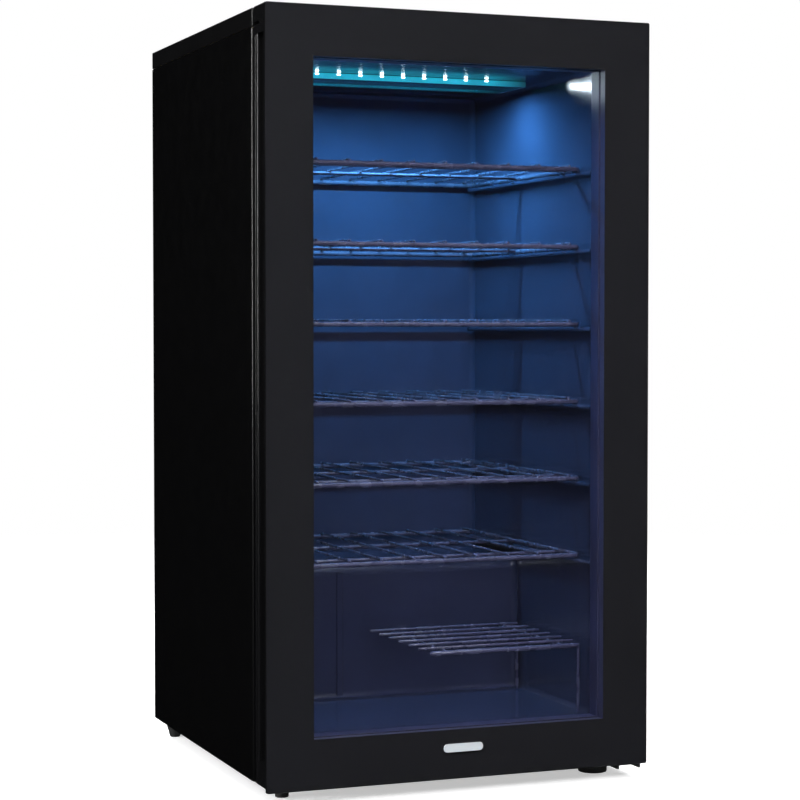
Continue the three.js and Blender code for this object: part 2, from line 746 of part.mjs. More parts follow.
// ---------- Light and control ----------
const LIGHT = { half: 171, front: 216, back: 291, foot: 794.6, top: CAVITY_CEILING - GAP, wall: 2.7 };
const LENS_TOP = 796.4;
const BOARD = { half: 164, depths: [245, 262], z: [797.6, 799.1] };

function lightHousing() {
  const tray = block([-LIGHT.half, LIGHT.half], [LIGHT.front, LIGHT.back], [LIGHT.foot, LIGHT.top]);
  const pocketHalf = LIGHT.half - LIGHT.wall;
  const pocketDepths = [LIGHT.front + LIGHT.wall, LIGHT.back - LIGHT.wall];
  return cut(tray, block([-pocketHalf, pocketHalf], pocketDepths, [LIGHT.foot - 1, BOARD.z[1] + GAP]));
}

const CONTROL = { x0: -191.4, x1: -153, front: 62, back: 118, foot: 772, top: LIGHT.top };
const KNOB = { x: -172, z: 787, r: 12, length: 11.5 };
const KNOB_SHAFT_R = 3;
const GRIP = { half: 2.5, reach: 10.5, height: 4 }; // the finger bar across the knob
const SWITCH = { x: -172, depth: 94, half: 5.7, reach: 9.7 };

function controlHousing() {
  const shell = block([CONTROL.x0, CONTROL.x1], [CONTROL.front, CONTROL.back], [CONTROL.foot, CONTROL.top]);
  const wall = 2;
  return cut(
    shell,
    block(
      [CONTROL.x0 + wall, CONTROL.x1 - wall],
      [CONTROL.front + wall, CONTROL.back - wall],
      [CONTROL.foot + wall, CONTROL.top + 1],
    ),
    spindle(KNOB.x, [CONTROL.front - 1, CONTROL.front + 5], KNOB.z, KNOB_SHAFT_R + 0.6, 12),
    block(
      [SWITCH.x - SWITCH.half - GAP, SWITCH.x + SWITCH.half + GAP],
      [SWITCH.depth - SWITCH.reach - GAP, SWITCH.depth + SWITCH.reach + GAP],
      [CONTROL.foot - 1, CONTROL.foot + wall + 1],
    ),
  );
}

function thermostat() {
  const front = CONTROL.front + 6;
  const body = block([KNOB.x - 11, KNOB.x + 11], [front, front + 16], [KNOB.z - 7, KNOB.z + 9]);
  return join(body, spindle(KNOB.x, [CONTROL.front, front + 1], KNOB.z, KNOB_SHAFT_R, 12));
}

function thermostatKnob() {
  const back = CONTROL.front - GAP;
  const front = back - KNOB.length;
  const dial = spindle(KNOB.x, [front + GRIP.height, back], KNOB.z, KNOB.r, 24);
  const gripX = [KNOB.x - GRIP.half, KNOB.x + GRIP.half];
  const grip = block(gripX, [front, front + GRIP.height + 1], [KNOB.z - GRIP.reach, KNOB.z + GRIP.reach]);
  return join(dial, grip);
}

// A rocker that rests tipped to one side, on its pivot in the housing's floor.
function lightSwitch() {
  const end = SWITCH.reach - GAP;
  const outline = [
    [-end, 1.6],
    [-end, -1],
    [0, -3.4],
    [end, -1],
    [end, 1.6],
  ];
  const tip = THREE.MathUtils.degToRad(4);
  const placed = outline.map(([d, z]) => [
    SWITCH.depth + d * Math.cos(tip) - z * Math.sin(tip),
    CONTROL.foot + 1 + d * Math.sin(tip) + z * Math.cos(tip),
  ]);
  return acrossX(placed, [SWITCH.x - SWITCH.half, SWITCH.x + SWITCH.half]);
}

add("light_housing", lightHousing(), FINISH.whitePlastic);
add("led_board", block([-BOARD.half, BOARD.half], BOARD.depths, BOARD.z), FINISH.circuit);
const lensHalf = LIGHT.half - LIGHT.wall - GAP;
const lensDepths = [LIGHT.front + LIGHT.wall + GAP, LIGHT.back - LIGHT.wall - GAP];
add("light_lens", block([-lensHalf, lensHalf], lensDepths, [LIGHT.foot, LENS_TOP]), FINISH.lens);
add("control_housing", controlHousing(), FINISH.blackPlastic);
add("thermostat", thermostat(), FINISH.galvanised);
add("thermostat_knob", thermostatKnob(), FINISH.blackPlastic);
add("light_switch", lightSwitch(), FINISH.blackPlastic);

// ---------- Shelves ----------
// One shelf about the level of its front bar's middle: a front bar and side rails, three cross wires,
// and ten wires on top that run from front to back, whose pairs cradle the bottles.
function wireShelf() {
  const half = SHELF_HALF;
  const [railWidth, crossHalf] = [4, 2];
  const underWires = WIRE - 0.1;
  const overWires = [WIRE - 0.4, 2 * WIRE - 0.4];
  let shelf = block([-half, half], [SHELF_FRONT, SHELF_FRONT + WIRE], [-WIRE, WIRE]);
  for (const side of [-1, 1]) {
    const rail = [side * (half - railWidth), side * half];
    shelf = shelf.add(block(rail, [SHELF_FRONT + 1, SHELF_BACK], [-WIRE, underWires]));
  }
  for (const depth of CROSS_WIRES) {
    const depths = [depth - crossHalf, depth + crossHalf];
    shelf = shelf.add(block([1 - half, half - 1], depths, [-1.2, underWires]));
  }
  for (let i = 0; i < LONG_WIRES; i++) {
    const x = (i - (LONG_WIRES - 1) / 2) * WIRE_PITCH;
    shelf = shelf.add(block([x - WIRE / 2, x + WIRE / 2], [SHELF_FRONT, SHELF_BACK], overWires));
  }
  return shelf;
}

for (let i = 0; i < SHELF_COUNT; i++) {
  add(`shelf_${i + 1}`, wireShelf(), FINISH.shelfWire, [0, -DOOR_FACE_Y, shelfZ(i)]);
}

// The short rack for bottles that lie across the bottom: cross-lying wires with free left ends,
// carried by two legs at the right wall and by two bars that reach the step.
function lowerRack() {
  const [level, wire, right, front] = [140, 3.4, 187, 97.5];
  const rows = { count: 6, start: 113, pitch: 31, left: -8 };
  let rack = block([0, right], [front, front + wire], [level - WIRE, level + WIRE]);
  for (const x of [20, 165]) {
    rack = rack.add(block([x, x + wire], [front + 0.5, HUMP_FACE - 1], [level - 1, level + wire - 1]));
  }
  for (let i = 0; i < rows.count; i++) {
    const depth = rows.start + i * rows.pitch;
    rack = rack.add(block([rows.left, right], [depth, depth + wire], [level + 2, level + 2 + wire]));
  }
  for (const depth of [front, rows.start + (rows.count - 1) * rows.pitch]) {
    rack = rack.add(block([right - wire, right], [depth, depth + wire], [CAVITY_FLOOR + GAP, level + 2.4]));
  }
  return rack;
}

add("lower_rack", lowerRack(), FINISH.shelfWire);

// ---------- Door ----------
const paneFoot = WINDOW_FOOT - REAR_PANE_MARGIN;
const paneTop = WINDOW_TOP + REAR_PANE_MARGIN;
const frameFront = PANE + GAP;
const PANE_PLAY = 0.6; // play round the rear pane's edges
const panePocket = () =>
  block(
    [-REAR_PANE_HALF - PANE_PLAY, REAR_PANE_HALF + PANE_PLAY],
    [-1, REAR_PANE_BACK + GAP],
    [paneFoot - PANE_PLAY, paneTop + PANE_PLAY],
  );

// Upright of the door frame, with the finger groove along its outer side.
function stile(side) {
  const outline = [
    [WINDOW_HALF, DOOR_BACK],
    [WINDOW_HALF, REAR_PANE_BACK + GAP],
    [REAR_PANE_HALF + PANE_PLAY, REAR_PANE_BACK + GAP],
    [REAR_PANE_HALF + PANE_PLAY, frameFront],
    [FRAME_HALF, frameFront],
    [FRAME_HALF, GRIP_FRONT],
    [GRIP_FLOOR_X, GRIP_FRONT],
    [GRIP_FLOOR_X, GRIP_BACK],
    [FRAME_HALF, GRIP_BACK],
    [FRAME_HALF, DOOR_BACK],
  ];
  const placed = outline.map(([x, d]) => [side * x, d]);
  return alongZ(placed, [DOOR_FOOT + CAP + GAP, HEIGHT - CAP - GAP]);
}

// The space that a hinge arm sweeps at the rail's corner as the door turns.
const armSlot = (z) => block([-HALF - 1, PIN_X + 18], [frameFront + 1.5, DOOR_BACK + 1], z);
const BUSH_SEAT_R = BUSH_R + GAP;

function topRail() {
  const full = block([-FRAME_HALF, FRAME_HALF], [frameFront, DOOR_BACK], [HEIGHT - CAP, HEIGHT - GAP]);
  const inset = WINDOW_HALF - GAP;
  const deep = block([-inset, inset], [frameFront, DOOR_BACK], [WINDOW_TOP, HEIGHT - CAP + 1]);
  return cut(
    join(full, deep),
    panePocket(),
    armSlot([DECK_TOP, TOP_BRACKET_Z + BRACKET + GAP]),
    post(PIN_X, PIN_DEPTH, [topPinEnd + GAP, DECK_TOP + 1], BUSH_SEAT_R, 24),
    post(PIN_X, PIN_DEPTH, [topPinEnd - 0.6, DECK_TOP], PIN_R + 0.5, 24),
  );
}

function bottomRail() {
  const full = block([-FRAME_HALF, FRAME_HALF], [frameFront, DOOR_BACK], [DOOR_FOOT + GAP, DOOR_FOOT + CAP]);
  const inset = WINDOW_HALF - GAP;
  const deep = block([-inset, inset], [frameFront, DOOR_BACK], [DOOR_FOOT + CAP - 1, WINDOW_FOOT]);
  const slotTop = LOW_BRACKET_Z + BRACKET + GAP;
  return cut(
    join(full, deep),
    panePocket(),
    armSlot([DOOR_FOOT - 1, slotTop]),
    post(PIN_X, PIN_DEPTH, [slotTop - 1, lowPinEnd - GAP], BUSH_SEAT_R, 24),
    post(PIN_X, PIN_DEPTH, [slotTop, lowPinEnd + 0.6], PIN_R + 0.5, 24),
  );
}

function ring(outer, inner, depths) {
  const [outerHalf, outerFoot, outerTop] = outer;
  const [innerHalf, innerFoot, innerTop] = inner;
  return cut(
    block([-outerHalf, outerHalf], depths, [outerFoot, outerTop]),
    block([-innerHalf, innerHalf], [depths[0] - 1, depths[1] + 1], [innerFoot, innerTop]),
  );
}

function hingeBush(z0, z1) {
  return cut(
    post(PIN_X, PIN_DEPTH, [z0, z1], BUSH_R, 24),
    post(PIN_X, PIN_DEPTH, [z0 - 1, z1 + 1], PIN_R + 0.1, 24),
  );
}

// The socket for the hinge pin when the door is hung on the other side: a plate with two short fins.
function spareHingeSocket() {
  const [x0, x1] = [192, 221];
  const depths = [9, 36];
  const [finFoot, plateFoot, finWidth] = [11.2, 15.4, 2.5];
  const plate = block([x0, x1], depths, [plateFoot, DOOR_FOOT]);
  const fins = [x0, x1 - finWidth].map((x) => block([x, x + finWidth], depths, [finFoot, plateFoot + 0.6]));
  return join(plate, ...fins);
}

add("door_glass_front", block([-HALF, HALF], [0, PANE], [DOOR_FOOT, HEIGHT]), FINISH.glass);
add(
  "door_glass_rear",
  block([-REAR_PANE_HALF, REAR_PANE_HALF], [REAR_PANE_BACK - PANE, REAR_PANE_BACK], [paneFoot, paneTop]),
  FINISH.glass,
);
add(
  "glass_spacer",
  ring(
    [WINDOW_HALF + 7, WINDOW_FOOT - 7, WINDOW_TOP + 7],
    [WINDOW_HALF + 0.5, WINDOW_FOOT - 0.5, WINDOW_TOP + 0.5],
    [frameFront, REAR_PANE_BACK - PANE - GAP],
  ),
  FINISH.blackPlastic,
);
add("door_stile_left", stile(-1), FINISH.blackPlastic);
add("door_stile_right", stile(1), FINISH.blackPlastic);
add("door_rail_top", topRail(), FINISH.blackPlastic);
add("door_rail_bottom", bottomRail(), FINISH.blackPlastic);
const GASKET_OUTER = [207, 44, 820]; // half width, foot and top
const GASKET_INNER = [194, 58, 804];
add("door_gasket", ring(GASKET_OUTER, GASKET_INNER, [DOOR_BACK + GAP, CABINET_FRONT - GAP]), FINISH.rubber);
add("hinge_bush_top", hingeBush(topPinEnd + 0.7, DECK_TOP - GAP), FINISH.whitePlastic);
add("hinge_bush_bottom", hingeBush(LOW_BRACKET_Z + BRACKET + 2 * GAP, lowPinEnd - 0.7), FINISH.whitePlastic);
add("spare_hinge_socket", spareHingeSocket(), FINISH.blackPlastic);

export default cooler;
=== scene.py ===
import json
import math

import bmesh
import bpy
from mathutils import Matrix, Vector

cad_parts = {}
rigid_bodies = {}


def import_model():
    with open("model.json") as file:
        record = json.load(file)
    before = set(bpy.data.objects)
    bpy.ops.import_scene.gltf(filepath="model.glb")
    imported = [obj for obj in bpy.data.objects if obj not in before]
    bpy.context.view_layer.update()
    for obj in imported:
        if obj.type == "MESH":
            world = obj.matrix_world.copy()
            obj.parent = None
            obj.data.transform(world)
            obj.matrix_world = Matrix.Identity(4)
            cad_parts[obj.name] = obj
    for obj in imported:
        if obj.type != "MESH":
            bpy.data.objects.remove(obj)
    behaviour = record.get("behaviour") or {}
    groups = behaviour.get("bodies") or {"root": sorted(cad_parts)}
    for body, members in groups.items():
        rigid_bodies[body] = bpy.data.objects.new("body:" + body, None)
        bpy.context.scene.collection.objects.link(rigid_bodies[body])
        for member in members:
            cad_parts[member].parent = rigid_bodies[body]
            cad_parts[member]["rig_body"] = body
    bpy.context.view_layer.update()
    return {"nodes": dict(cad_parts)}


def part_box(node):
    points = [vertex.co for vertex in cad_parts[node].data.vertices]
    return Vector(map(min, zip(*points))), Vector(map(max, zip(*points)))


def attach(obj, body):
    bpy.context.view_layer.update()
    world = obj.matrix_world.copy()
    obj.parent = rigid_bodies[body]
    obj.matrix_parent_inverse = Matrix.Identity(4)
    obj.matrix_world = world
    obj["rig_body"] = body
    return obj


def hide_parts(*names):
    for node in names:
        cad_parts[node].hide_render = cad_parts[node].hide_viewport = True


# The looks of a free-standing wine cooler with a glass door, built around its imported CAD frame.
# Lengths are in metres; x runs to the right, y from the door to the back, z up from the floor.

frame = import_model()
scene = bpy.context.scene
MM = 0.001


# ---------- Camera, floor and light ----------
CAMERA_PLACE = (-0.9103, -2.3909, 0.5099)
CAMERA_PITCH_DOWN = math.radians(1.98)
CAMERA_YAW_RIGHT = math.radians(21.34)
CAMERA_LENS = 96.87

FLOOR_HALF = 9.0
FLOOR_SOLID = 1.1  # the floor is opaque to this distance and then fades into the backdrop
FLOOR_FADED = 2.8
FLOOR_GLOW = 0.5  # keeps the shadow under the cooler light

ROOM_COLOUR = (0.95, 0.96, 1.0, 1)
ROOM_IN_FRONT = 0.02  # strengths of the room's light in front, behind and overhead
ROOM_BEHIND = 0.003
ROOM_OVERHEAD = 0.9


def make_camera():
    data = bpy.data.cameras.new("camera")
    data.lens = CAMERA_LENS
    data.clip_end = 100
    camera = bpy.data.objects.new("camera", data)
    camera.location = CAMERA_PLACE
    camera.rotation_euler = (math.pi / 2 - CAMERA_PITCH_DOWN, 0, -CAMERA_YAW_RIGHT)
    scene.collection.objects.link(camera)
    scene.camera = camera


class Nodes:
    """A small helper that adds shader nodes to a tree and links them."""

    def __init__(self, tree):
        self.tree = tree
        tree.nodes.clear()

    def add(self, kind, inputs=None, **settings):
        node = self.tree.nodes.new(kind)
        for name, value in settings.items():
            setattr(node, name, value)
        for key, value in (inputs or {}).items():
            if isinstance(value, bpy.types.NodeSocket):
                self.tree.links.new(value, node.inputs[key])
            else:
                node.inputs[key].default_value = value
        return node

    def ranged(self, value, low, high, source=(0, 1)):
        """The value mapped from its source range to low..high."""
        inputs = {"Value": value, "From Min": source[0], "From Max": source[1], "To Min": low, "To Max": high}
        return self.add("ShaderNodeMapRange", inputs).outputs["Result"]

    def blended(self, share, first, second):
        """The mix of two colours by a share from 0 to 1."""
        node = self.add("ShaderNodeMix", data_type="RGBA")
        for socket, value in ((node.inputs[0], share), (node.inputs[6], first), (node.inputs[7], second)):
            if isinstance(value, bpy.types.NodeSocket):
                self.tree.links.new(value, socket)
            else:
                socket.default_value = (*value, 1) if hasattr(value, "__len__") else value
        return node.outputs[2]


def make_world():
    """A white backdrop to the eye; the room that the cooler mirrors is dim all round and bright overhead."""
    world = bpy.data.worlds.new("studio")
    scene.world = world
    world.use_nodes = True
    nodes = Nodes(world.node_tree)
    direction = nodes.add("ShaderNodeTexCoord").outputs["Generated"]
    parts = nodes.add("ShaderNodeSeparateXYZ", {"Vector": direction})
    around = nodes.ranged(parts.outputs["Y"], ROOM_IN_FRONT, ROOM_BEHIND, (-0.6, 0.2))
    overhead = nodes.ranged(parts.outputs["Z"], 0, ROOM_OVERHEAD, (0.5, 0.95))
    strength = nodes.add("ShaderNodeMath", {0: around, 1: overhead}, operation="ADD").outputs[0]
    room = nodes.add("ShaderNodeBackground", {"Color": ROOM_COLOUR, "Strength": strength})
    backdrop = nodes.add("ShaderNodeBackground", {"Color": (1, 1, 1, 1), "Strength": 1.0})
    seen = nodes.add("ShaderNodeLightPath").outputs["Is Camera Ray"]
    mix = nodes.add("ShaderNodeMixShader", {0: seen, 1: room.outputs[0], 2: backdrop.outputs[0]})
    nodes.add("ShaderNodeOutputWorld", {"Surface": mix.outputs[0]})


def make_floor():
    mesh = bpy.data.meshes.new("floor")
    half = FLOOR_HALF
    corners = [(-half, -half, 0), (half, -half, 0), (half, half, 0), (-half, half, 0)]
    mesh.from_pydata(corners, [], [(0, 1, 2, 3)])
    floor = bpy.data.objects.new("floor", mesh)
    scene.collection.objects.link(floor)
    material = bpy.data.materials.new("pale_floor")
    material.use_nodes = True
    nodes = Nodes(material.node_tree)
    place = nodes.add("ShaderNodeTexCoord").outputs["Object"]
    mottle = nodes.add("ShaderNodeTexNoise", {"Vector": place, "Scale": 3.0, "Detail": 3.0}).outputs["Fac"]
    colour = nodes.blended(mottle, (0.86, 0.86, 0.87), (0.90, 0.90, 0.90))
    inputs = {
        "Base Color": colour,
        "Roughness": 0.7,
        "Emission Color": (1, 1, 1, 1),
        "Emission Strength": FLOOR_GLOW,
    }
    paint = nodes.add("ShaderNodeBsdfPrincipled", inputs)
    distance = nodes.add("ShaderNodeVectorMath", {0: place}, operation="LENGTH").outputs["Value"]
    fade = nodes.ranged(distance, 0, 1, (FLOOR_SOLID, FLOOR_FADED))
    clear = nodes.add("ShaderNodeBsdfTransparent")
    mix = nodes.add("ShaderNodeMixShader", {0: fade, 1: paint.outputs[0], 2: clear.outputs[0]})
    nodes.add("ShaderNodeOutputMaterial", {"Surface": mix.outputs[0]})
    mesh.materials.append(material)
    floor.visible_glossy = False
    floor.visible_transmission = False


def area_light(name, place, target, size, power, colour=(1, 1, 1), body=None, spread=180):
    data = bpy.data.lights.new(name, "AREA")
    data.shape = "RECTANGLE"
    data.size, data.size_y = size
    data.energy = power
    data.color = colour
    data.spread = math.radians(spread)
    light = bpy.data.objects.new(name, data)
    light.location = place
    light.rotation_euler = (Vector(target) - Vector(place)).to_track_quat("-Z", "Y").to_euler()
    light.visible_camera = False
    scene.collection.objects.link(light)
    if body:
        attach(light, body)
    return light


def make_lights():
    centre = (0, 0, 0.42)
    area_light("softbox_top", (0.2, -0.9, 3.4), (0, -0.1, 0), (4.4, 4.4), 190)
    area_light("softbox_front", (-1.0, -3.4, 2.3), centre, (2.6, 1.2), 150)
    area_light("softbox_left_edge", (-2.4, -0.1, 1.15), (-0.2, -0.1, 0.8), (0.35, 1.6), 72)
    area_light("softbox_back", (0.6, 2.7, 3.0), centre, (1.8, 1.8), 90)


# ---------- Mesh helpers ----------
def extent(node):
    """The box of a CAD node at rest, as (low, high) pairs for x, y and z."""
    low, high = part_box(node)
    return tuple(zip(low, high))


def rectangle(u, v):
    return [(u[0], v[0]), (u[1], v[0]), (u[1], v[1]), (u[0], v[1])]


def rounded(outline, radius, steps=4, closed=True):
    """An outline with its corners rounded off. radius is one number, or one for each corner."""
    points = []
    last = len(outline) - 1
    for i, corner in enumerate(outline):
        here = Vector(corner)
        before = Vector(outline[i - 1]) - here
        after = Vector(outline[(i + 1) % len(outline)]) - here
        size = radius[i] if isinstance(radius, (list, tuple)) else radius
        if size <= 0 or (not closed and i in (0, last)):
            points.append(here)
            continue
        half_turn = before.angle(after) / 2
        reach = min(size / math.tan(half_turn), before.length * 0.49, after.length * 0.49)
        start = here + before.normalized() * reach
        end = here + after.normalized() * reach
        for step in range(steps + 1):
            t = step / steps
            points.append(start.lerp(here, t).lerp(here.lerp(end, t), t))
    return points


PLACE_ON = {
    "x": lambda u, v, w: (w, u, v),
    "y": lambda u, v, w: (u, w, v),
    "z": lambda u, v, w: (u, v, w),
}


def prism(bm, outline, axis, limits):
    """A closed solid with the given outline, drawn along an axis between two limits."""
    place = PLACE_ON[axis]
    rings = [[bm.verts.new(place(p[0], p[1], w)) for p in outline] for w in limits]
    faces = [bm.faces.new(ring) for ring in rings]
    count = len(outline)
    for i in range(count):
        j = (i + 1) % count
        faces.append(bm.faces.new((rings[0][i], rings[0][j], rings[1][j], rings[1][i])))
    return faces


def box(bm, x, y, z, radius=0.0, segments=3):
    """A box with all its edges rounded."""
    made = bmesh.ops.create_cube(bm, size=1)["verts"]
    for vertex in made:
        vertex.co = [pair[1] if c > 0 else pair[0] for pair, c in zip((x, y, z), vertex.co)]
    if radius:
        edges = list(dict.fromkeys(edge for vertex in made for edge in vertex.link_edges))
        bmesh.ops.bevel(bm, geom=edges, offset=radius, segments=segments, profile=0.5, affect="EDGES")


def lathe(bm, profile, centre, axis="z", steps=40, squeeze=(1, 1)):
    """A solid turned from (radius, height) points about an axis through the centre."""
    rings = []
    for radius, height in profile:
        if radius < 1e-7:
            ring = [(0.0, 0.0)]
        else:
            turns = (2 * math.pi * k / steps for k in range(steps))
            ring = [(radius * squeeze[0] * math.cos(a), radius * squeeze[1] * math.sin(a)) for a in turns]
        rings.append([bm.verts.new(Vector(PLACE_ON[axis](u, v, height)) + Vector(centre)) for u, v in ring])
    for low, high in zip(rings, rings[1:]):
        for k in range(steps):
            j = (k + 1) % steps
            corners = [low[k % len(low)], low[j % len(low)], high[j % len(high)], high[k % len(high)]]
            unique = list(dict.fromkeys(corners))
            if len(unique) > 2:
                bm.faces.new(unique)
    for ring in (rings[0], rings[-1]):
        if len(ring) > 2:
            bm.faces.new(ring)


def rod(bm, points, radius, sides=12, closed=False):
    """A round rod along a path, with rounded ends unless it closes on itself."""
    points = [Vector(p) for p in points]
    count = len(points)
    tangents = []
    for i in range(count):
        before = points[i - 1] if closed or i else points[0]
        after = points[(i + 1) % count] if closed or i < count - 1 else points[-1]
        tangents.append((after - before).normalized())
    sections = [(p, t, radius) for p, t in zip(points, tangents)]
    if not closed:
        first, last = sections[0], sections[-1]
        tips = ((0.55, 0.72), (0.9, 0.3))
        sections = (
            [(first[0] + first[1] * radius * (1 - out), first[1], radius * size) for out, size in tips[::-1]]
            + [(first[0] + first[1] * radius, first[1], radius)]
            + sections[1:-1]
            + [(last[0] - last[1] * radius, last[1], radius)]
            + [(last[0] - last[1] * radius * (1 - out), last[1], radius * size) for out, size in tips]
        )
    normal = sections[0][1].orthogonal().normalized()
    rings = []
    for centre, tangent, size in sections:
        normal = (normal - tangent * normal.dot(tangent)).normalized()
        side = tangent.cross(normal)
        turns = [2 * math.pi * k / sides for k in range(sides)]
        spokes = [size * (math.cos(angle) * normal + math.sin(angle) * side) for angle in turns]
        rings.append([bm.verts.new(centre + spoke) for spoke in spokes])
    pairs = list(zip(rings, rings[1:]))
    if closed:
        pairs.append((rings[-1], rings[0]))
    for low, high in pairs:
        shift = 0
        if closed and low is rings[-1]:
            gaps = [(low[0].co - vertex.co).length for vertex in high]
            shift = gaps.index(min(gaps))
        for k in range(sides):
            j = (k + 1) % sides
            bm.faces.new((low[k], low[j], high[(j + shift) % sides], high[(k + shift) % sides]))
    if not closed:
        bm.faces.new(rings[0])
        bm.faces.new(rings[-1])


def ring_of(bm, outer, inner, profile):
    """A mitred ring between two upright rectangles; profile is (share from outer to inner, y) points."""
    loops = []
    for share, y in profile:
        corners = [Vector(o).lerp(Vector(i), share) for o, i in zip(rectangle(*outer), rectangle(*inner))]
        loops.append([bm.verts.new((x, y, z)) for x, z in corners])
    for i, loop in enumerate(loops):
        following = loops[(i + 1) % len(loops)]
        for k in range(4):
            j = (k + 1) % 4
            bm.faces.new((loop[k], loop[j], following[j], following[k]))


def screw_head(bm, centre, axis, radius=3.6 * MM, sign=1):
    """A pan-head screw with a socket, standing out along the axis; its profile is in head radii."""
    profile = [
        (0, 0.18), (0.3, 0.18), (0.36, 0.5), (0.5, 0.56), (0.82, 0.42), (0.97, 0.2), (1.0, 0.0),
        (1.25, -0.05), (1.25, -0.1), (0, -0.1),
    ]
    lathe(bm, [(u * radius, sign * v * radius) for u, v in profile], centre, axis, steps=16)


def piece(name, bm, body, material, replaces=(), sharp=42, weighted=True):
    """Makes a finished object of the mesh, riding on a body, in place of the CAD nodes it stands for."""
    bmesh.ops.recalc_face_normals(bm, faces=bm.faces)
    return placed(name, bm, body, material, replaces, sharp, weighted)


def placed(name, bm, body, material, replaces=(), sharp=42, weighted=True):
    """The same as piece(), with the faces left turned as they are."""
    mesh = bpy.data.meshes.new(name)
    bm.to_mesh(mesh)
    bm.free()
    mesh.materials.append(material)
    mesh.shade_smooth()
    mesh.set_sharp_from_angle(angle=math.radians(sharp))
    made = bpy.data.objects.new(name, mesh)
    scene.collection.objects.link(made)
    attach(made, body)
    if replaces:
        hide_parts(*replaces)
    if weighted:
        modifier = made.modifiers.new("even_shading", "WEIGHTED_NORMAL")
        modifier.keep_sharp = True
    return made


def paint_faces(made, material, test):
    """Gives the faces that pass the test a second finish."""
    made.data.materials.append(material)
    for face in made.data.polygons:
        if test(face):
            face.material_index = len(made.data.materials) - 1


def softened(node, material, width=0.5 * MM, segments=2):
    """A CAD solid of the right shape with its sharp edges rounded."""
    source = frame["nodes"][node]
    bm = bmesh.new()
    bm.from_mesh(source.data)
    bmesh.ops.remove_doubles(bm, verts=bm.verts, dist=2e-6)
    bmesh.ops.dissolve_limit(bm, angle_limit=math.radians(0.5), verts=bm.verts, edges=bm.edges)
    sharp = [edge for edge in bm.edges if edge.is_manifold and edge.calc_face_angle() > math.radians(35)]
    bmesh.ops.bevel(
        bm, geom=sharp, offset=width, segments=segments, profile=0.5, affect="EDGES", clamp_overlap=True
    )
    return piece(node + "_formed", bm, source["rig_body"], material, [node])


# ---------- Materials ----------
def surface(
    name,
    colour,
    roughness,
    slot=None,
    metallic=0.0,
    specular=0.5,
    spread=0.12,
    grain=900,
    grain_depth=0.02,
    wave=0,
    wave_depth=0,
    coat=0.0,
    rough_spread=0.025,
):
    """A procedural finish: colour and roughness that vary, fine grain and slow waves."""
    material = bpy.data.materials.new(name)
    material.use_nodes = True
    if slot:
        material["slot"] = slot
    nodes = Nodes(material.node_tree)
    place = nodes.add("ShaderNodeTexCoord").outputs["Object"]
    cloud = nodes.add("ShaderNodeTexNoise", {"Vector": place, "Scale": 14.0, "Detail": 5.0}).outputs["Fac"]
    grains = nodes.add("ShaderNodeTexNoise", {"Vector": place, "Scale": float(grain), "Detail": 2.0})
    dark = tuple(c * (1 - spread) for c in colour)
    light = tuple(c * (1 + spread) for c in colour)
    tone = nodes.blended(nodes.ranged(cloud, 0, 1, (0.3, 0.7)), dark, light)
    smear = nodes.add("ShaderNodeTexNoise", {"Vector": place, "Scale": 45.0, "Detail": 4.0}).outputs["Fac"]
    rough = nodes.ranged(smear, max(roughness - rough_spread, 0.02), roughness + rough_spread, (0.3, 0.7))
    inputs = {"Height": grains.outputs["Fac"], "Strength": 0.35, "Distance": grain_depth * MM}
    bump = nodes.add("ShaderNodeBump", inputs)
    if wave_depth:
        waves = nodes.add("ShaderNodeTexNoise", {"Vector": place, "Scale": float(wave), "Detail": 1.0})
        inputs = {
            "Height": waves.outputs["Fac"],
            "Strength": 0.5,
            "Distance": wave_depth * MM,
            "Normal": bump.outputs[0],
        }
        bump = nodes.add("ShaderNodeBump", inputs)
    inputs = {
        "Base Color": tone,
        "Roughness": rough,
        "Metallic": metallic,
        "Specular IOR Level": specular,
        "Coat Weight": coat,
        "Normal": bump.outputs[0],
    }
    shader = nodes.add("ShaderNodeBsdfPrincipled", inputs)
    nodes.add("ShaderNodeOutputMaterial", {"Surface": shader.outputs[0]})
    return material


def clear_glass(name, tint, slot):
    material = bpy.data.materials.new(name)
    material.use_nodes = True
    material["slot"] = slot
    nodes = Nodes(material.node_tree)
    place = nodes.add("ShaderNodeTexCoord").outputs["Object"]
    smear = nodes.add("ShaderNodeTexNoise", {"Vector": place, "Scale": 9.0, "Detail": 4.0}).outputs["Fac"]
    inputs = {
        "Base Color": nodes.blended(smear, tint, tuple(c * 0.985 for c in tint)),
        "Roughness": 0.0,
        "Transmission Weight": 1.0,
        "IOR": 1.45,
    }
    shader = nodes.add("ShaderNodeBsdfPrincipled", inputs)
    nodes.add("ShaderNodeOutputMaterial", {"Surface": shader.outputs[0]})
    return material


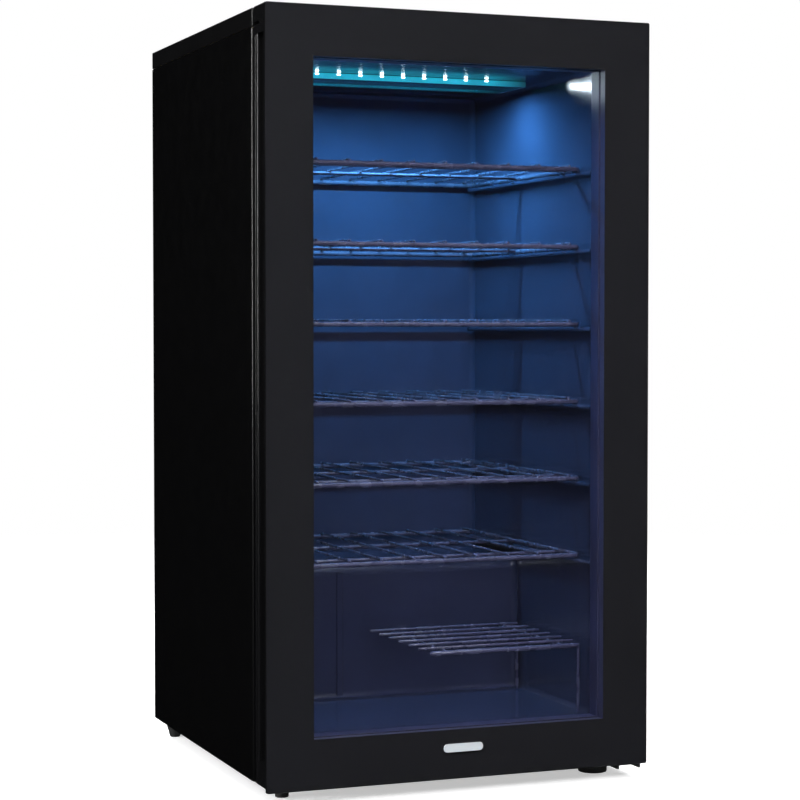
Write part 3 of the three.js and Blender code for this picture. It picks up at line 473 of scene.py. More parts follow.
def glowing(name, colour, strength, base, slot, roughness=0.4, fade=None):
    """A lit surface whose glow varies a little, and sinks between two distances from the middle if asked."""
    material = bpy.data.materials.new(name)
    material.use_nodes = True
    material["slot"] = slot
    nodes = Nodes(material.node_tree)
    place = nodes.add("ShaderNodeTexCoord").outputs["Object"]
    patches = nodes.add("ShaderNodeTexNoise", {"Vector": place, "Scale": 38.0, "Detail": 2.0}).outputs["Fac"]
    glow = nodes.ranged(patches, strength * 0.8, strength * 1.2, (0.3, 0.7))
    if fade:
        across = nodes.add("ShaderNodeSeparateXYZ", {"Vector": place}).outputs["X"]
        away = nodes.add("ShaderNodeMath", {0: across}, operation="ABSOLUTE").outputs[0]
        share = nodes.ranged(away, 1.0, 0.12, fade)
        glow = nodes.add("ShaderNodeMath", {0: glow, 1: share}, operation="MULTIPLY").outputs[0]
    inputs = {
        "Base Color": nodes.blended(patches, base, tuple(c * 0.9 for c in base)),
        "Roughness": nodes.ranged(patches, roughness - 0.05, roughness + 0.05),
        "Emission Color": (*colour, 1),
        "Emission Strength": glow,
    }
    shader = nodes.add("ShaderNodeBsdfPrincipled", inputs)
    nodes.add("ShaderNodeOutputMaterial", {"Surface": shader.outputs[0]})
    return material


def spangled_zinc():
    """Galvanised sheet: grey metal with faint crystal patches."""
    material = bpy.data.materials.new("galvanised_sheet")
    material.use_nodes = True
    material["slot"] = "galvanised_steel"
    nodes = Nodes(material.node_tree)
    place = nodes.add("ShaderNodeTexCoord").outputs["Object"]
    crystal = nodes.add("ShaderNodeTexVoronoi", {"Vector": place, "Scale": 110.0}).outputs["Color"]
    patch = nodes.add("ShaderNodeSeparateColor", {"Color": crystal}).outputs[0]
    cloud = nodes.add("ShaderNodeTexNoise", {"Vector": place, "Scale": 30.0, "Detail": 4.0}).outputs["Fac"]
    bump = nodes.add("ShaderNodeBump", {"Height": cloud, "Strength": 0.2, "Distance": 0.05 * MM})
    inputs = {
        "Base Color": nodes.blended(patch, (0.40, 0.42, 0.44), (0.56, 0.58, 0.60)),
        "Roughness": nodes.ranged(patch, 0.32, 0.5),
        "Metallic": 1.0,
        "Normal": bump.outputs[0],
    }
    shader = nodes.add("ShaderNodeBsdfPrincipled", inputs)
    nodes.add("ShaderNodeOutputMaterial", {"Surface": shader.outputs[0]})
    return material


LIT_BLUE = (0.03, 0.58, 0.85)
LIT_CYAN = (0.008, 0.46, 0.64)


def steel_finishes():
    return {
        "steel": surface("black_enamelled_steel", (0.0006, 0.0006, 0.0007), 0.24, "black_steel",
                         grain=420, grain_depth=0.003, rough_spread=0.02),
        "hinge": surface("hinge_black_paint", (0.016, 0.016, 0.017), 0.3, "black_steel",
                         grain=500, grain_depth=0.04),
        "screw": surface("screw_black_zinc", (0.05, 0.05, 0.052), 0.35, "black_steel",
                         metallic=0.9, grain=900, grain_depth=0.03),
        "zinc": spangled_zinc(),
        "condenser": surface("condenser_black_paint", (0.020, 0.020, 0.021), 0.36, "condenser_black",
                             grain=700, grain_depth=0.05),
        "compressor": surface("compressor_enamel", (0.010, 0.010, 0.011), 0.24, "black_steel",
                              coat=0.3, grain=160, grain_depth=0.08),
        # Dark wire coating with painted blue light: its purple-blue tint stands for the LEDs' light on the
        # bars.
        "wire": surface("shelf_wire_coating_painted_blue_light", (0.036, 0.035, 0.070), 0.26, "shelf_wire",
                        coat=0.25, grain=600, grain_depth=0.03, rough_spread=0.08),
        "copper": surface("drawn_copper", (0.72, 0.36, 0.20), 0.28, "copper",
                          metallic=1.0, spread=0.22, grain=300, grain_depth=0.05, rough_spread=0.12),
        "aluminium": surface("rolled_aluminium", (0.70, 0.71, 0.72), 0.36, "aluminium",
                             metallic=1.0, grain=700, grain_depth=0.04),
        "badge": surface("badge_silver", (0.36, 0.365, 0.375), 0.42, "aluminium",
                         metallic=0.3, spread=0.06, grain=1800, grain_depth=0.02),
    }


def plastic_finishes():
    return {
        "cover": surface("moulded_black_top", (0.0012, 0.0012, 0.0014), 0.30, "black_plastic",
                         specular=0.35, grain=1500, grain_depth=0.03),
        "plastic": surface("moulded_black_plastic", (0.013, 0.013, 0.014), 0.46, "black_plastic",
                           grain=1300, grain_depth=0.05),
        "frame": surface("door_frame_plastic", (0.0022, 0.0022, 0.0025), 0.21, "frame_plastic",
                         grain=1700, grain_depth=0.01),
        # The reveal is the black frame plastic with painted blue light: a brighter navy copy that stands for
        # the LEDs' glow on the door's inner edges.
        "reveal": surface("door_reveal_painted_blue_light", (0.0105, 0.0105, 0.0320), 0.42, "frame_plastic",
                          grain=1700, grain_depth=0.015),
        "foot": surface("foot_plastic", (0.012, 0.012, 0.012), 0.55, "foot_plastic",
                        grain=900, grain_depth=0.08),
        "knob": surface("knob_plastic", (0.02, 0.02, 0.021), 0.38, "knob_plastic",
                        grain=1500, grain_depth=0.04),
        "white": surface("white_moulding", (0.62, 0.64, 0.66), 0.4, "white_plastic",
                         spread=0.05, grain=1500, grain_depth=0.03),
        # Dark liner plastic with painted blue light: its navy tint stands for the LEDs' blue glow on the
        # walls.
        "liner": surface("vacuum_formed_liner_painted_blue_light", (0.0135, 0.0160, 0.0380), 0.17, "liner_plastic",
                         spread=0.1, grain=240, grain_depth=0.02, wave=7, wave_depth=0.9, rough_spread=0.05),
        "foam": surface("poured_foam", (0.70, 0.58, 0.28), 0.9, "foam",
                        spread=0.15, grain=600, grain_depth=0.4),
        "rubber": surface("gasket_rubber", (0.020, 0.020, 0.022), 0.6, "rubber",
                          grain=1100, grain_depth=0.05),
        "mount": surface("mount_rubber", (0.016, 0.016, 0.016), 0.75, "rubber",
                         grain=800, grain_depth=0.12),
        # Painted blue shade: the white tray moulding's unlit faces are coloured dark navy, as they look in
        # the cabinet's dim blue light.
        "tray": surface("light_tray_painted_blue_shade", (0.02, 0.03, 0.09), 0.3, "white_plastic",
                        grain=1500, grain_depth=0.02),
    }


def glass_and_light_finishes():
    return {
        "print": surface("glass_printed_border", (0.0056, 0.0055, 0.0066), 0.6, "door_glass",
                         specular=0.05, spread=0.04, grain=1200, grain_depth=0.01),
        "glass": clear_glass("door_glass_clear", (0.93, 0.95, 0.97), "door_glass"),
        "lens": clear_glass("light_cover_clear", (0.90, 0.98, 1.0), "light_lens"),
        "board": glowing("led_board_lit", LIT_BLUE, 0.06, (0.1, 0.14, 0.2), "led_board"),
        "reflector": glowing("light_reflector_lit", LIT_BLUE, 0.04, (0.02, 0.03, 0.08), "white_plastic"),
        "lit_tray": glowing("light_tray_lit", LIT_CYAN, 1.0, (0.1, 0.2, 0.25), "white_plastic",
                            fade=(0.122, 0.168)),
        "led": glowing("led_chip_lit", (0.75, 0.95, 1.0), 24.0, (0.9, 0.95, 1.0), "led_board"),
    }


# ---------- Cabinet ----------
BEND = 2.0 * MM  # outer radius of the sheet steel's folds
SHEET = 1.0 * MM


def side_panel(node, side):
    (x0, x1), (y0, y1), z = extent(node)
    outer, edge = (x0, x1) if side < 0 else (x1, x0)
    inner = outer - side * SHEET
    outline = [
        (outer, y0), (outer, y1), (edge, y1), (edge, y1 - SHEET), (inner, y1 - SHEET), (inner, y0 + SHEET),
        (edge, y0 + SHEET), (edge, y0),
    ]
    radii = [BEND, BEND, 0.3 * MM, 0.3 * MM, 0.6 * MM, 0.6 * MM, 0.3 * MM, 0.3 * MM]
    bm = bmesh.new()
    prism(bm, rounded(outline, radii), "z", z)
    piece(node + "_sheet", bm, "cabinet", FINISH["steel"], [node])


def top_cover():
    """A moulded lid with rounded edges and a shallow field inside a raised rim."""
    x, y, z = extent("top_cover")
    bm = bmesh.new()
    box(bm, x, y, z, 0.9 * MM, 3)
    bmesh.ops.delete(bm, geom=[f for f in bm.faces if f.normal.z < -0.99], context="FACES")
    field = [f for f in bm.faces if f.normal.z > 0.99]
    bmesh.ops.inset_region(bm, faces=field, thickness=9 * MM, depth=0)
    bmesh.ops.inset_region(bm, faces=field, thickness=1.6 * MM, depth=-0.9 * MM)
    piece("top_cover_moulding", bm, "cabinet", FINISH["cover"], ["top_cover"])


CHANNEL_X = 0.172
CHANNEL_HALF = 7 * MM
CHANNEL_END_GAP = 0.05
BACK_SCREW_ROWS = 6


def back_panel():
    """The rear sheet, stiffened by pressed channels, and the screws round its edge."""
    (x0, x1), (y0, y1), (z0, _) = extent("back_panel")
    z1 = extent("top_deck")[2][1] - 0.2 * MM
    bm = bmesh.new()
    prism(bm, rounded(rectangle((x0, x1), (z0, z1)), 4 * MM), "y", (y0, y1))
    for x in (-CHANNEL_X, CHANNEL_X):
        across = (x - CHANNEL_HALF, x + CHANNEL_HALF)
        up = (z0 + CHANNEL_END_GAP, z1 - CHANNEL_END_GAP)
        outline = rounded(rectangle(across, up), CHANNEL_HALF - 0.1 * MM)
        prism(bm, outline, "y", (y1 - 0.2 * MM, y1 + 0.9 * MM))
    piece("back_panel_sheet", bm, "cabinet", FINISH["steel"], ["back_panel"])
    screws = bmesh.new()
    margin = 12 * MM
    pitch = (z1 - z0 - 2 * margin) / (BACK_SCREW_ROWS - 1)
    for row in range(BACK_SCREW_ROWS):
        for x in (x0 + margin / 2, x1 - margin / 2):
            screw_head(screws, (x, y1, z0 + margin + row * pitch), "y")
    for x in (-0.12, 0, 0.12):
        screw_head(screws, (x, y1, z1 - margin), "y")
        screw_head(screws, (x, y1, z0 + 8 * MM), "y")
    piece("back_panel_screws", screws, "cabinet", FINISH["screw"])


CAVITY_HALF = 0.192
CAVITY_FRONT = -0.203
CAVITY_BACK = 0.172
CAVITY_FLOOR = 0.0615
CAVITY_CEILING = 0.8015
HUMP_FACE = 0.040
HUMP_TOP = 0.226
HUMP_CHAMFER = 0.010
SHELF_COUNT = 6
RIB_DEPTH = 0.012
RIB_ENDS = (-0.190, 0.166)
STEP_CHANNEL = (-0.044, -0.036)
STEP_CHANNEL_TOP = 0.214
LINER_RADIUS = 9 * MM


def inner_liner():
    """The vacuum-formed shell: a cavity with rounded corners, a step at the rear, and a front flange."""
    outline = [
        (CAVITY_FRONT, CAVITY_FLOOR),
        (HUMP_FACE, CAVITY_FLOOR),
        (HUMP_FACE, HUMP_TOP - HUMP_CHAMFER),
        (HUMP_FACE + HUMP_CHAMFER, HUMP_TOP),
        (CAVITY_BACK, HUMP_TOP),
        (CAVITY_BACK, CAVITY_CEILING),
        (CAVITY_FRONT, CAVITY_CEILING),
    ]
    bm = bmesh.new()
    weight = bm.edges.layers.float.new("bevel_weight_edge")
    sides = [[bm.verts.new((x, y, z)) for y, z in outline] for x in (-CAVITY_HALF, CAVITY_HALF)]
    bm.faces.new(sides[0])
    bm.faces.new(sides[1][::-1])
    last = len(outline) - 1
    for i in range(last):
        bm.faces.new((sides[0][i], sides[1][i], sides[1][i + 1], sides[0][i + 1]))
    bmesh.ops.recalc_face_normals(bm, faces=bm.faces)
    for edge in bm.edges:
        front = all(abs(v.co.y - CAVITY_FRONT) < 1e-6 for v in edge.verts)
        edge[weight] = 0.3 if front else 1.0
    (x0, x1), _, (z0, z1) = extent("inner_liner")
    rim = {}
    for x, z in rectangle((x0, x1), (z0, z1)):
        rim[(x > 0, z > 0.4)] = bm.verts.new((x, CAVITY_FRONT, z))
    mouth = {(v.co.x > 0, v.co.z > 0.4): v for side in sides for v in (side[0], side[last])}
    order = [(False, False), (True, False), (True, True), (False, True)]
    for here, after in zip(order, order[1:] + order[:1]):
        bm.faces.new((mouth[here], mouth[after], rim[after], rim[here]))
    bmesh.ops.recalc_face_normals(bm, faces=bm.faces)
    back = max(bm.faces, key=lambda f: f.calc_center_median().y)
    if back.normal.y > 0:
        bmesh.ops.reverse_faces(bm, faces=bm.faces)
    # The shell takes the liner finish, dark plastic with painted blue light.
    made = placed("inner_liner_shell", bm, "cabinet", FINISH["liner"], ["inner_liner"], weighted=False)
    bevel = made.modifiers.new("formed_corners", "BEVEL")
    bevel.limit_method = "WEIGHT"
    bevel.width = LINER_RADIUS
    bevel.segments = 5
    wall = made.modifiers.new("wall", "SOLIDIFY")
    wall.thickness = 1.1 * MM
    wall.offset = -1
    even = made.modifiers.new("even_shading", "WEIGHTED_NORMAL")
    even.keep_sharp = True


def liner_ribs():
    """The ledges that the shelves slide on, and the channel down the face of the step."""
    bm = bmesh.new()
    for i in range(SHELF_COUNT):
        top = extent(f"shelf_{i + 1}")[2][0] - 0.3 * MM
        for side in (-1, 1):
            x = sorted((side * (CAVITY_HALF - RIB_DEPTH), side * (CAVITY_HALF + 1 * MM)))
            box(bm, x, RIB_ENDS, (top - 5 * MM, top), 1.8 * MM, 3)
    depth = (HUMP_FACE - 2 * MM, HUMP_FACE + 1 * MM)
    box(bm, STEP_CHANNEL, depth, (CAVITY_FLOOR, STEP_CHANNEL_TOP), 1.2 * MM, 3)
    piece("liner_shelf_ribs", bm, "cabinet", FINISH["liner"])


def base():
    softened("base_plate", FINISH["zinc"], 0.3 * MM)
    softened("front_base_rail", FINISH["plastic"], 1.0 * MM, 3)
    deck = softened("top_deck", FINISH["zinc"], 0.3 * MM)
    paint_faces(deck, FINISH["steel"], lambda face: abs(face.normal.z) < 0.9)
    softened("compartment_panel", FINISH["zinc"], 0.3 * MM)
    softened("insulation_foam", FINISH["foam"], 0.4 * MM)


STUD_RADIUS = 4 * MM
THREAD_DEPTH = 0.6 * MM
THREAD_PITCH = 1.25 * MM


def feet():
    """Two levelling feet on threaded studs at the front, and two fixed cones at the rear."""
    for node in ("foot_front_left", "foot_front_right"):
        (x0, x1), (y0, y1), (_, z1) = extent(node)
        centre = ((x0 + x1) / 2, (y0 + y1) / 2, 0)
        pad = (x1 - x0) / 2
        height = 14 * MM if pad < 10 * MM else 9 * MM
        bm = bmesh.new()
        profile = [(0, 0), (pad - 1.2 * MM, 0), (pad - 0.3 * MM, 0.4 * MM), (pad, 1.4 * MM)]
        profile += [(pad, height - 2.4 * MM), (pad - 0.5 * MM, height - 1.0 * MM), (pad - 1.8 * MM, height)]
        profile += [(STUD_RADIUS, height)]
        root = STUD_RADIUS - THREAD_DEPTH
        for k in range(int((z1 - height) / THREAD_PITCH)):
            z = height + k * THREAD_PITCH
            profile += [(root, z + 0.2 * MM), (STUD_RADIUS, z + 0.75 * MM)]
        profile += [(root, z1), (0, z1)]
        lathe(bm, profile, centre, steps=40)
        side = node.split("_")[-1]
        piece(f"levelling_foot_{side}", bm, f"{side}_levelling_foot", FINISH["foot"], [node])
    for node in ("foot_rear_left", "foot_rear_right"):
        (x0, x1), (y0, y1), (_, z1) = extent(node)
        centre = ((x0 + x1) / 2, (y0 + y1) / 2, 0)
        top = (x1 - x0) / 2
        bm = bmesh.new()
        profile = [(0, 0), (5.6 * MM, 0), (6.5 * MM, 1 * MM), (8.6 * MM, 9 * MM), (9.2 * MM, 9.4 * MM)]
        profile += [(11.2 * MM, 19 * MM), (top, 20 * MM), (top, z1), (0, z1)]
        lathe(bm, profile, centre, steps=36)
        piece(f"{node}_cone", bm, "cabinet", FINISH["foot"], [node])


def hinges():
    for level in ("top", "bottom"):
        softened(f"{level}_hinge_bracket", FINISH["hinge"], 0.6 * MM)
        softened(f"hinge_bush_{level}", FINISH["white"], 0.4 * MM)
    softened("spare_hinge_socket", FINISH["plastic"], 0.5 * MM)
    bm = bmesh.new()
    head = 4.2 * MM
    (x0, _), (_, y1), (_, z1) = extent("top_hinge_bracket")
    for x in (x0 + 26 * MM, x0 + 62 * MM):
        screw_head(bm, (x, y1 - 20 * MM, z1), "z", head)
    (x0, _), (_, y1), (z0, _) = extent("bottom_hinge_bracket")
    for x in (x0 + 44 * MM, x0 + 58 * MM):
        screw_head(bm, (x, y1 - 10 * MM, z0), "z", head, -1)
    piece("hinge_screws", bm, "cabinet", FINISH["screw"])


# ---------- Cooling circuit ----------
COIL_RUNS = 11
CONDENSER_WIRES = 19


def condenser():
    """A tube folded up and down the back, with upright wires on it and a frame."""
    (x0, x1), (y0, y1), (z0, z1) = extent("condenser_coil")
    radius = (y1 - y0) / 2
    y = (y0 + y1) / 2
    pitch = (z1 - z0 - 2 * radius) / (COIL_RUNS - 1)
    half = min(-x0, x1) - radius - pitch / 2
    points = []
    for run in range(COIL_RUNS):
        z = z0 + radius + run * pitch
        toward = -1 if run % 2 else 1
        points += [(-toward * half, y, z), (toward * half, y, z)]
        if run < COIL_RUNS - 1:
            for step in range(1, 10):
                angle = math.pi * step / 10 - math.pi / 2
                out, up = math.cos(angle) * pitch / 2, (1 + math.sin(angle)) * pitch / 2
                points.append((toward * (half + out), y, z + up))
    bm = bmesh.new()
    rod(bm, points, radius, 14)
    piece("condenser_tube", bm, "cabinet", FINISH["condenser"], ["condenser_coil"])
    (x0, x1), (y0, y1), (z0, z1) = extent("condenser_wires")
    wire = 0.9 * MM
    margin = 3 * MM
    bm = bmesh.new()
    for i in range(CONDENSER_WIRES):
        x = x0 + margin + i * (x1 - x0 - 2 * margin) / (CONDENSER_WIRES - 1)
        rod(bm, [(x, y0 + wire, z0), (x, y0 + wire, z1)], wire, 8)
    for z in (z0 + margin, z1 - margin):
        rod(bm, [(x0, y1 - wire, z), (x1, y1 - wire, z)], wire, 8)
    piece("condenser_wire_grid", bm, "cabinet", FINISH["condenser"], ["condenser_wires"])
    softened("condenser_frame", FINISH["condenser"], 0.4 * MM)
    for side in ("left", "right"):
        softened(f"wall_spacer_{side}", FINISH["plastic"], 1.5 * MM, 3)


def compressor():
    """A welded shell in two halves on a pressed foot plate."""
    (x0, x1), (y0, y1), (z0, z1) = extent("compressor")
    centre = ((x0 + x1) / 2, (y0 + y1) / 2)
    bm = bmesh.new()
    profile = [
        (0, 33), (30, 33.4), (42, 36), (50, 42), (54.5, 52), (56.6, 66), (57.4, 84), (57.6, 92), (58.6, 93),
        (58.6, 98), (57.6, 99), (57.2, 112), (56.4, 124), (53.5, 137), (48, 146), (38, 153), (24, 157.6),
        (10, 159.6), (0, 160),
    ]
    lathe(bm, [(r * MM, z * MM) for r, z in profile], (*centre, 0), steps=56, squeeze=(1.2, 1))
    plate = rounded(rectangle((x0, x1), (y0, y1)), 12 * MM, 6)
    prism(bm, plate, "z", (z0, z0 + 3 * MM))
    for dx in (-0.02, 0.02):
        x = centre[0] + dx
        rod(bm, [(x, centre[1] - 0.052, 0.1), (x, centre[1] - 0.066, 0.1)], 3 * MM, 12)
    piece("compressor_shell", bm, "cabinet", FINISH["compressor"], ["compressor"])
    for i in range(4):
        softened(f"compressor_mount_{i + 1}", FINISH["mount"], 0.7 * MM, 3)
    softened("start_relay_box", FINISH["plastic"], 2.0 * MM, 3)
    softened("drip_tray", FINISH["plastic"], 0.8 * MM, 3)
    softened("drain_tube", FINISH["mount"], 0.3 * MM)
    softened("power_inlet", FINISH["plastic"], 0.8 * MM, 3)
    softened("evaporator_plate", FINISH["aluminium"], 0.3 * MM)


COIL_Y = 0.228
COIL_FOOT = 0.262
COIL_TOP = 0.742
COIL_HALF = 0.150
DRYER = (0.185, 0.190)
SUCTION = (0.138, 0.190)


def pipes():
    """Three copper pipes and the dryer. Each pipe has its radius and bend in mm, and its corners."""
    routes = {
        "discharge_pipe": (3, 16, [
            (0.012, 0.1925, 0.082), (0.012, COIL_Y, 0.082), (0.012, COIL_Y, 0.130), (-0.172, COIL_Y, 0.130),
            (-0.172, COIL_Y, COIL_FOOT), (-COIL_HALF, COIL_Y, COIL_FOOT),
        ]),
        "liquid_pipe": (3, 14, [
            (COIL_HALF, COIL_Y, COIL_TOP), (DRYER[0], COIL_Y, COIL_TOP), (DRYER[0], COIL_Y, 0.172),
            (*DRYER, 0.172), (*DRYER, 0.150),
        ]),
        "suction_pipe": (4, 18, [
            (0.108, 0.138, 0.098), (SUCTION[0], 0.138, 0.098), (SUCTION[0], 0.138, 0.160),
            (*SUCTION, 0.160), (*SUCTION, 0.400),
        ]),
    }
    for node, (radius, bend, corners) in routes.items():
        bm = bmesh.new()
        rod(bm, rounded(corners, bend * MM, 8, closed=False), radius * MM, 16)
        piece(f"{node}_tube", bm, "cabinet", FINISH["copper"], [node])
    bm = bmesh.new()
    profile = [(0, 57), (3.1, 57), (3.3, 60), (4.5, 63), (8.2, 68), (9, 72), (9, 138), (8.2, 142), (4.5, 147)]
    profile += [(3.3, 150), (3.1, 153), (0, 153)]
    lathe(bm, [(r * MM, z * MM) for r, z in profile], (*DRYER, 0), steps=28)
    piece("filter_dryer_body", bm, "cabinet", FINISH["copper"], ["filter_dryer"])


# ---------- Light and control ----------
LED_COUNT = 10
LED_PITCH = 26.6 * MM
LED_HALF = 2.2 * MM
GLOW_COLOUR = (0.15, 0.60, 0.82)
GLOW_SIZE = (0.30, 0.03)
GLOW_POWER = 14.0
GLINT_COLOUR = (0.8, 0.92, 1.0)
GLINT_SIZE = (0.050, 0.006)
GLINT_POWER = 0.012
GLINT_X = 0.147
GLINT_AIM = Vector((0.35, -1, -0.12))


def ceiling_light():
    """A lit tray with a clear cover under the ceiling, white points along its front, and its own light."""
    # The tray's unlit faces carry painted blue shade; its front and ends take the glow.
    tray = softened("light_housing", FINISH["tray"], 0.6 * MM, 3)
    paint_faces(tray, FINISH["lit_tray"], lambda face: face.normal.y < -0.5 or abs(face.normal.x) > 0.5)
    lens = softened("light_lens", FINISH["lens"], 0.3 * MM)
    lens.visible_shadow = False
    x, y, z = extent("light_lens")
    ceiling = extent("led_board")[2][1]
    reflector = bmesh.new()
    across, deep = [(low + 1 * MM, high - 1 * MM) for low, high in (x, y)]
    box(reflector, across, deep, (ceiling, ceiling + 0.2 * MM))
    piece("light_reflector", reflector, "cabinet", FINISH["reflector"])
    softened("led_board", FINISH["board"], 0.2 * MM)
    _, (y0, y1), _ = extent("led_board")
    middle = (y0 + y1) / 2
    _, (front, _), (_, top) = extent("light_housing")
    bm = bmesh.new()
    for i in range(LED_COUNT):
        centre = (i - (LED_COUNT - 1) / 2) * LED_PITCH
        across = (centre - LED_HALF, centre + LED_HALF)
        box(bm, across, (front - 0.5 * MM, front + 1 * MM), (top - 2.0 * MM, top - 0.7 * MM), 0.3 * MM, 2)
    piece("led_chips", bm, "cabinet", FINISH["led"])
    place = (0, middle, z[0] - 1.0 * MM)
    target = (0, middle, 0)
    glow = area_light("ceiling_glow", place, target, GLOW_SIZE, GLOW_POWER, GLOW_COLOUR, "cabinet", 175)
    glow.visible_glossy = False
    glow.visible_transmission = False
    place = Vector((GLINT_X, front - 2 * MM, (z[0] + top) / 2))
    target = place + GLINT_AIM
    glint = area_light("ceiling_glint", place, target, GLINT_SIZE, GLINT_POWER, GLINT_COLOUR, "cabinet", 24)
    glint.visible_transmission = False


KNOB_RIDGES = 24
RIDGE_INSET = 0.999  # the ring of ridges is this much narrower across than the dial


def control():
    """The thermostat in its housing, with a ridged dial, and the light switch."""
    softened("control_housing", FINISH["plastic"], 1.2 * MM, 3)
    softened("thermostat", FINISH["zinc"], 0.5 * MM)
    softened("light_switch", FINISH["knob"], 0.4 * MM)
    (x0, x1), (y0, y1), (z0, z1) = extent("thermostat_knob")
    centre = ((x0 + x1) / 2, 0, (z0 + z1) / 2)
    radius = (x1 - x0) / 2
    bm = bmesh.new()
    profile = [
        (0, y1), (radius - 0.4 * MM, y1), (radius, y1 - 0.8 * MM), (radius, y0 + 5.2 * MM),
        (radius - 1.0 * MM, y0 + 4.2 * MM), (0, y0 + 4.0 * MM),
    ]
    lathe(bm, profile, centre, "y", steps=48)
    ridge = 0.5 * MM
    ridge_ends = (y1 - 0.6 * MM, y0 + 5.4 * MM)
    for k in range(KNOB_RIDGES):
        angle = 2 * math.pi * k / KNOB_RIDGES
        across = centre[0] + RIDGE_INSET * radius * math.cos(angle)
        place = (across, 0, centre[2] + radius * math.sin(angle))
        profile = [(0, ridge_ends[0]), (ridge, ridge_ends[0]), (ridge, ridge_ends[1]), (0, ridge_ends[1])]
        lathe(bm, profile, place, "y", steps=8)
    grip = (centre[0] - 2.4 * MM, centre[0] + 2.4 * MM)
    box(bm, grip, (y0, y0 + 5 * MM), (centre[2] - 10.2 * MM, centre[2] + 10.2 * MM), 1.2 * MM, 3)
    piece("thermostat_knob_dial", bm, "knob", FINISH["knob"], ["thermostat_knob"])
    mark = bmesh.new()
    box(mark, (centre[0] - 0.5 * MM, centre[0] + 0.5 * MM), (y0 - 0.1 * MM, y0 + 1 * MM),
        (centre[2] + 3 * MM, centre[2] + 9.4 * MM), 0.1 * MM, 1)
    piece("thermostat_knob_mark", mark, "knob", FINISH["white"])


# ---------- Shelves ----------
LONG_WIRES = 10
WIRE_PITCH = 38.35 * MM
CROSS_WIRES = (39.5 * MM, 175.5 * MM)  # from a shelf's front edge
SHELF_BODIES = ["top", "second", "third", "fourth", "fifth", "sixth"]


def bead(bm, place, radius=2.2 * MM):
    """The small lump of metal where two wires are welded."""
    made = bmesh.ops.create_icosphere(bm, subdivisions=2, radius=radius)["verts"]
    for vertex in made:
        vertex.co.z *= 0.55
        vertex.co += Vector(place)


def wire_shelf(i):
    """A rounded frame, two cross wires under it, and long wires whose front ends turn down."""
    node = f"shelf_{i + 1}"
    (x0, x1), (y0, y1), (z0, z1) = extent(node)
    middle = z0 + 3 * MM
    bar = 2.8 * MM
    bm = bmesh.new()
    loop = rounded(rectangle((x0 + bar, x1 - bar), (y0 + bar, y1 - bar)), 9 * MM, 6)
    rod(bm, [(x, y, middle) for x, y in loop], bar, 14, closed=True)
    cross_depths = [y0 + depth for depth in CROSS_WIRES]
    for y in cross_depths:
        rod(bm, [(x0 + 2 * MM, y, middle + 0.8 * MM), (x1 - 2 * MM, y, middle + 0.8 * MM)], 2 * MM, 12)
    wire = 1.5 * MM
    level = z1 - wire
    for k in range(LONG_WIRES):
        x = (k - (LONG_WIRES - 1) / 2) * WIRE_PITCH
        path = [(x, y1 - 1 * MM, level), (x, y0 + 8 * MM, level), (x, y0 + 0.3 * MM, level - 0.5 * MM)]
        rod(bm, rounded(path, 6 * MM, 4, closed=False), wire, 10)
        for y in (y0 + bar, *cross_depths, y1 - bar):
            bead(bm, (x, y, level - wire + 0.1 * MM))
    piece(f"wire_shelf_{i + 1}", bm, f"{SHELF_BODIES[i]}_shelf", FINISH["wire"], [node], weighted=False)


RACK_WIRES = 6
RACK_PITCH = 31 * MM
RACK_FIRST = 17.2 * MM  # from the rack's front edge
RACK_BEARERS = (21.7 * MM, 166.7 * MM)
RACK_REAR_LEG = 172.2 * MM


def lower_rack():
    """Wires across the lower space on two bearers, with legs on the right."""
    (x0, x1), (y0, y1), (z0, z1) = extent("lower_rack")
    bm = bmesh.new()
    bar, wire = 2.9 * MM, 1.7 * MM
    level = z1 - wire
    rod(bm, [(0, y0 + wire, z1 - 5.4 * MM), (x1, y0 + wire, z1 - 5.4 * MM)], bar, 14)
    under = level - 2.9 * MM
    for x in RACK_BEARERS:
        rod(bm, [(x, y0 + 1 * MM, under), (x, y1, under)], wire, 12)
    for k in range(RACK_WIRES):
        y = y0 + RACK_FIRST + k * RACK_PITCH
        rod(bm, [(x0, y, level), (x1 - 0.5 * MM, y, level)], wire, 12)
        for x in RACK_BEARERS:
            bead(bm, (x, y, level - 1.4 * MM))
    top = z1 - 4.6 * MM
    for y in (y0 + wire, y0 + RACK_REAR_LEG):
        path = [(x1 - wire, y, z0), (x1 - wire, y, top), (x1 - 22 * MM, y, top)]
        rod(bm, rounded(path, 6 * MM, 6, closed=False), wire, 12)
    piece("lower_wire_rack", bm, "cabinet", FINISH["wire"], ["lower_rack"], weighted=False)


# ---------- Door ----------
BORDER = 53.5 * MM  # width of the printed band round the window
GROOVE_FLOOR = 0.210  # half width of the door between its finger grooves
GROOVE_DEPTHS = (8 * MM, 28.4 * MM)  # behind the door's face
BEAD_STEP = 1.3 * MM
SPACER_WIDTH = 6.5 * MM


def door_glass():
    panes = (("door_glass_front", "front_pane", 2.2 * MM), ("door_glass_rear", "rear_pane", 1.0 * MM))
    for node, name, radius in panes:
        x, y, z = extent(node)
        bm = bmesh.new()
        prism(bm, rounded(rectangle(x, z), radius, 4), "y", y)
        rim = [e for e in bm.edges if e.calc_face_angle() > 1.2]
        bmesh.ops.bevel(bm, geom=rim, offset=0.5 * MM, segments=2, profile=0.5, affect="EDGES")
        pane = piece(name, bm, "door", FINISH["glass"], [node])
        pane.visible_shadow = False
        if node == "door_glass_front":
            paint_faces(pane, FINISH["frame"], lambda face: abs(face.normal.y) < 0.9)


def printed_border():
    """The black band printed on the back of the front pane."""
    x, (_, back), z = extent("door_glass_front")
    edge = 0.1 * MM
    outer = ((x[0] + edge, x[1] - edge), (z[0] + edge, z[1] - edge))
    inner = ((x[0] + BORDER, x[1] - BORDER), (z[0] + BORDER, z[1] - BORDER))
    near, far = back + 0.05 * MM, back + 0.2 * MM
    bm = bmesh.new()
    ring_of(bm, outer, inner, [(0, near), (1, near), (1, far), (0, far)])
    piece("printed_border", bm, "door", FINISH["print"])


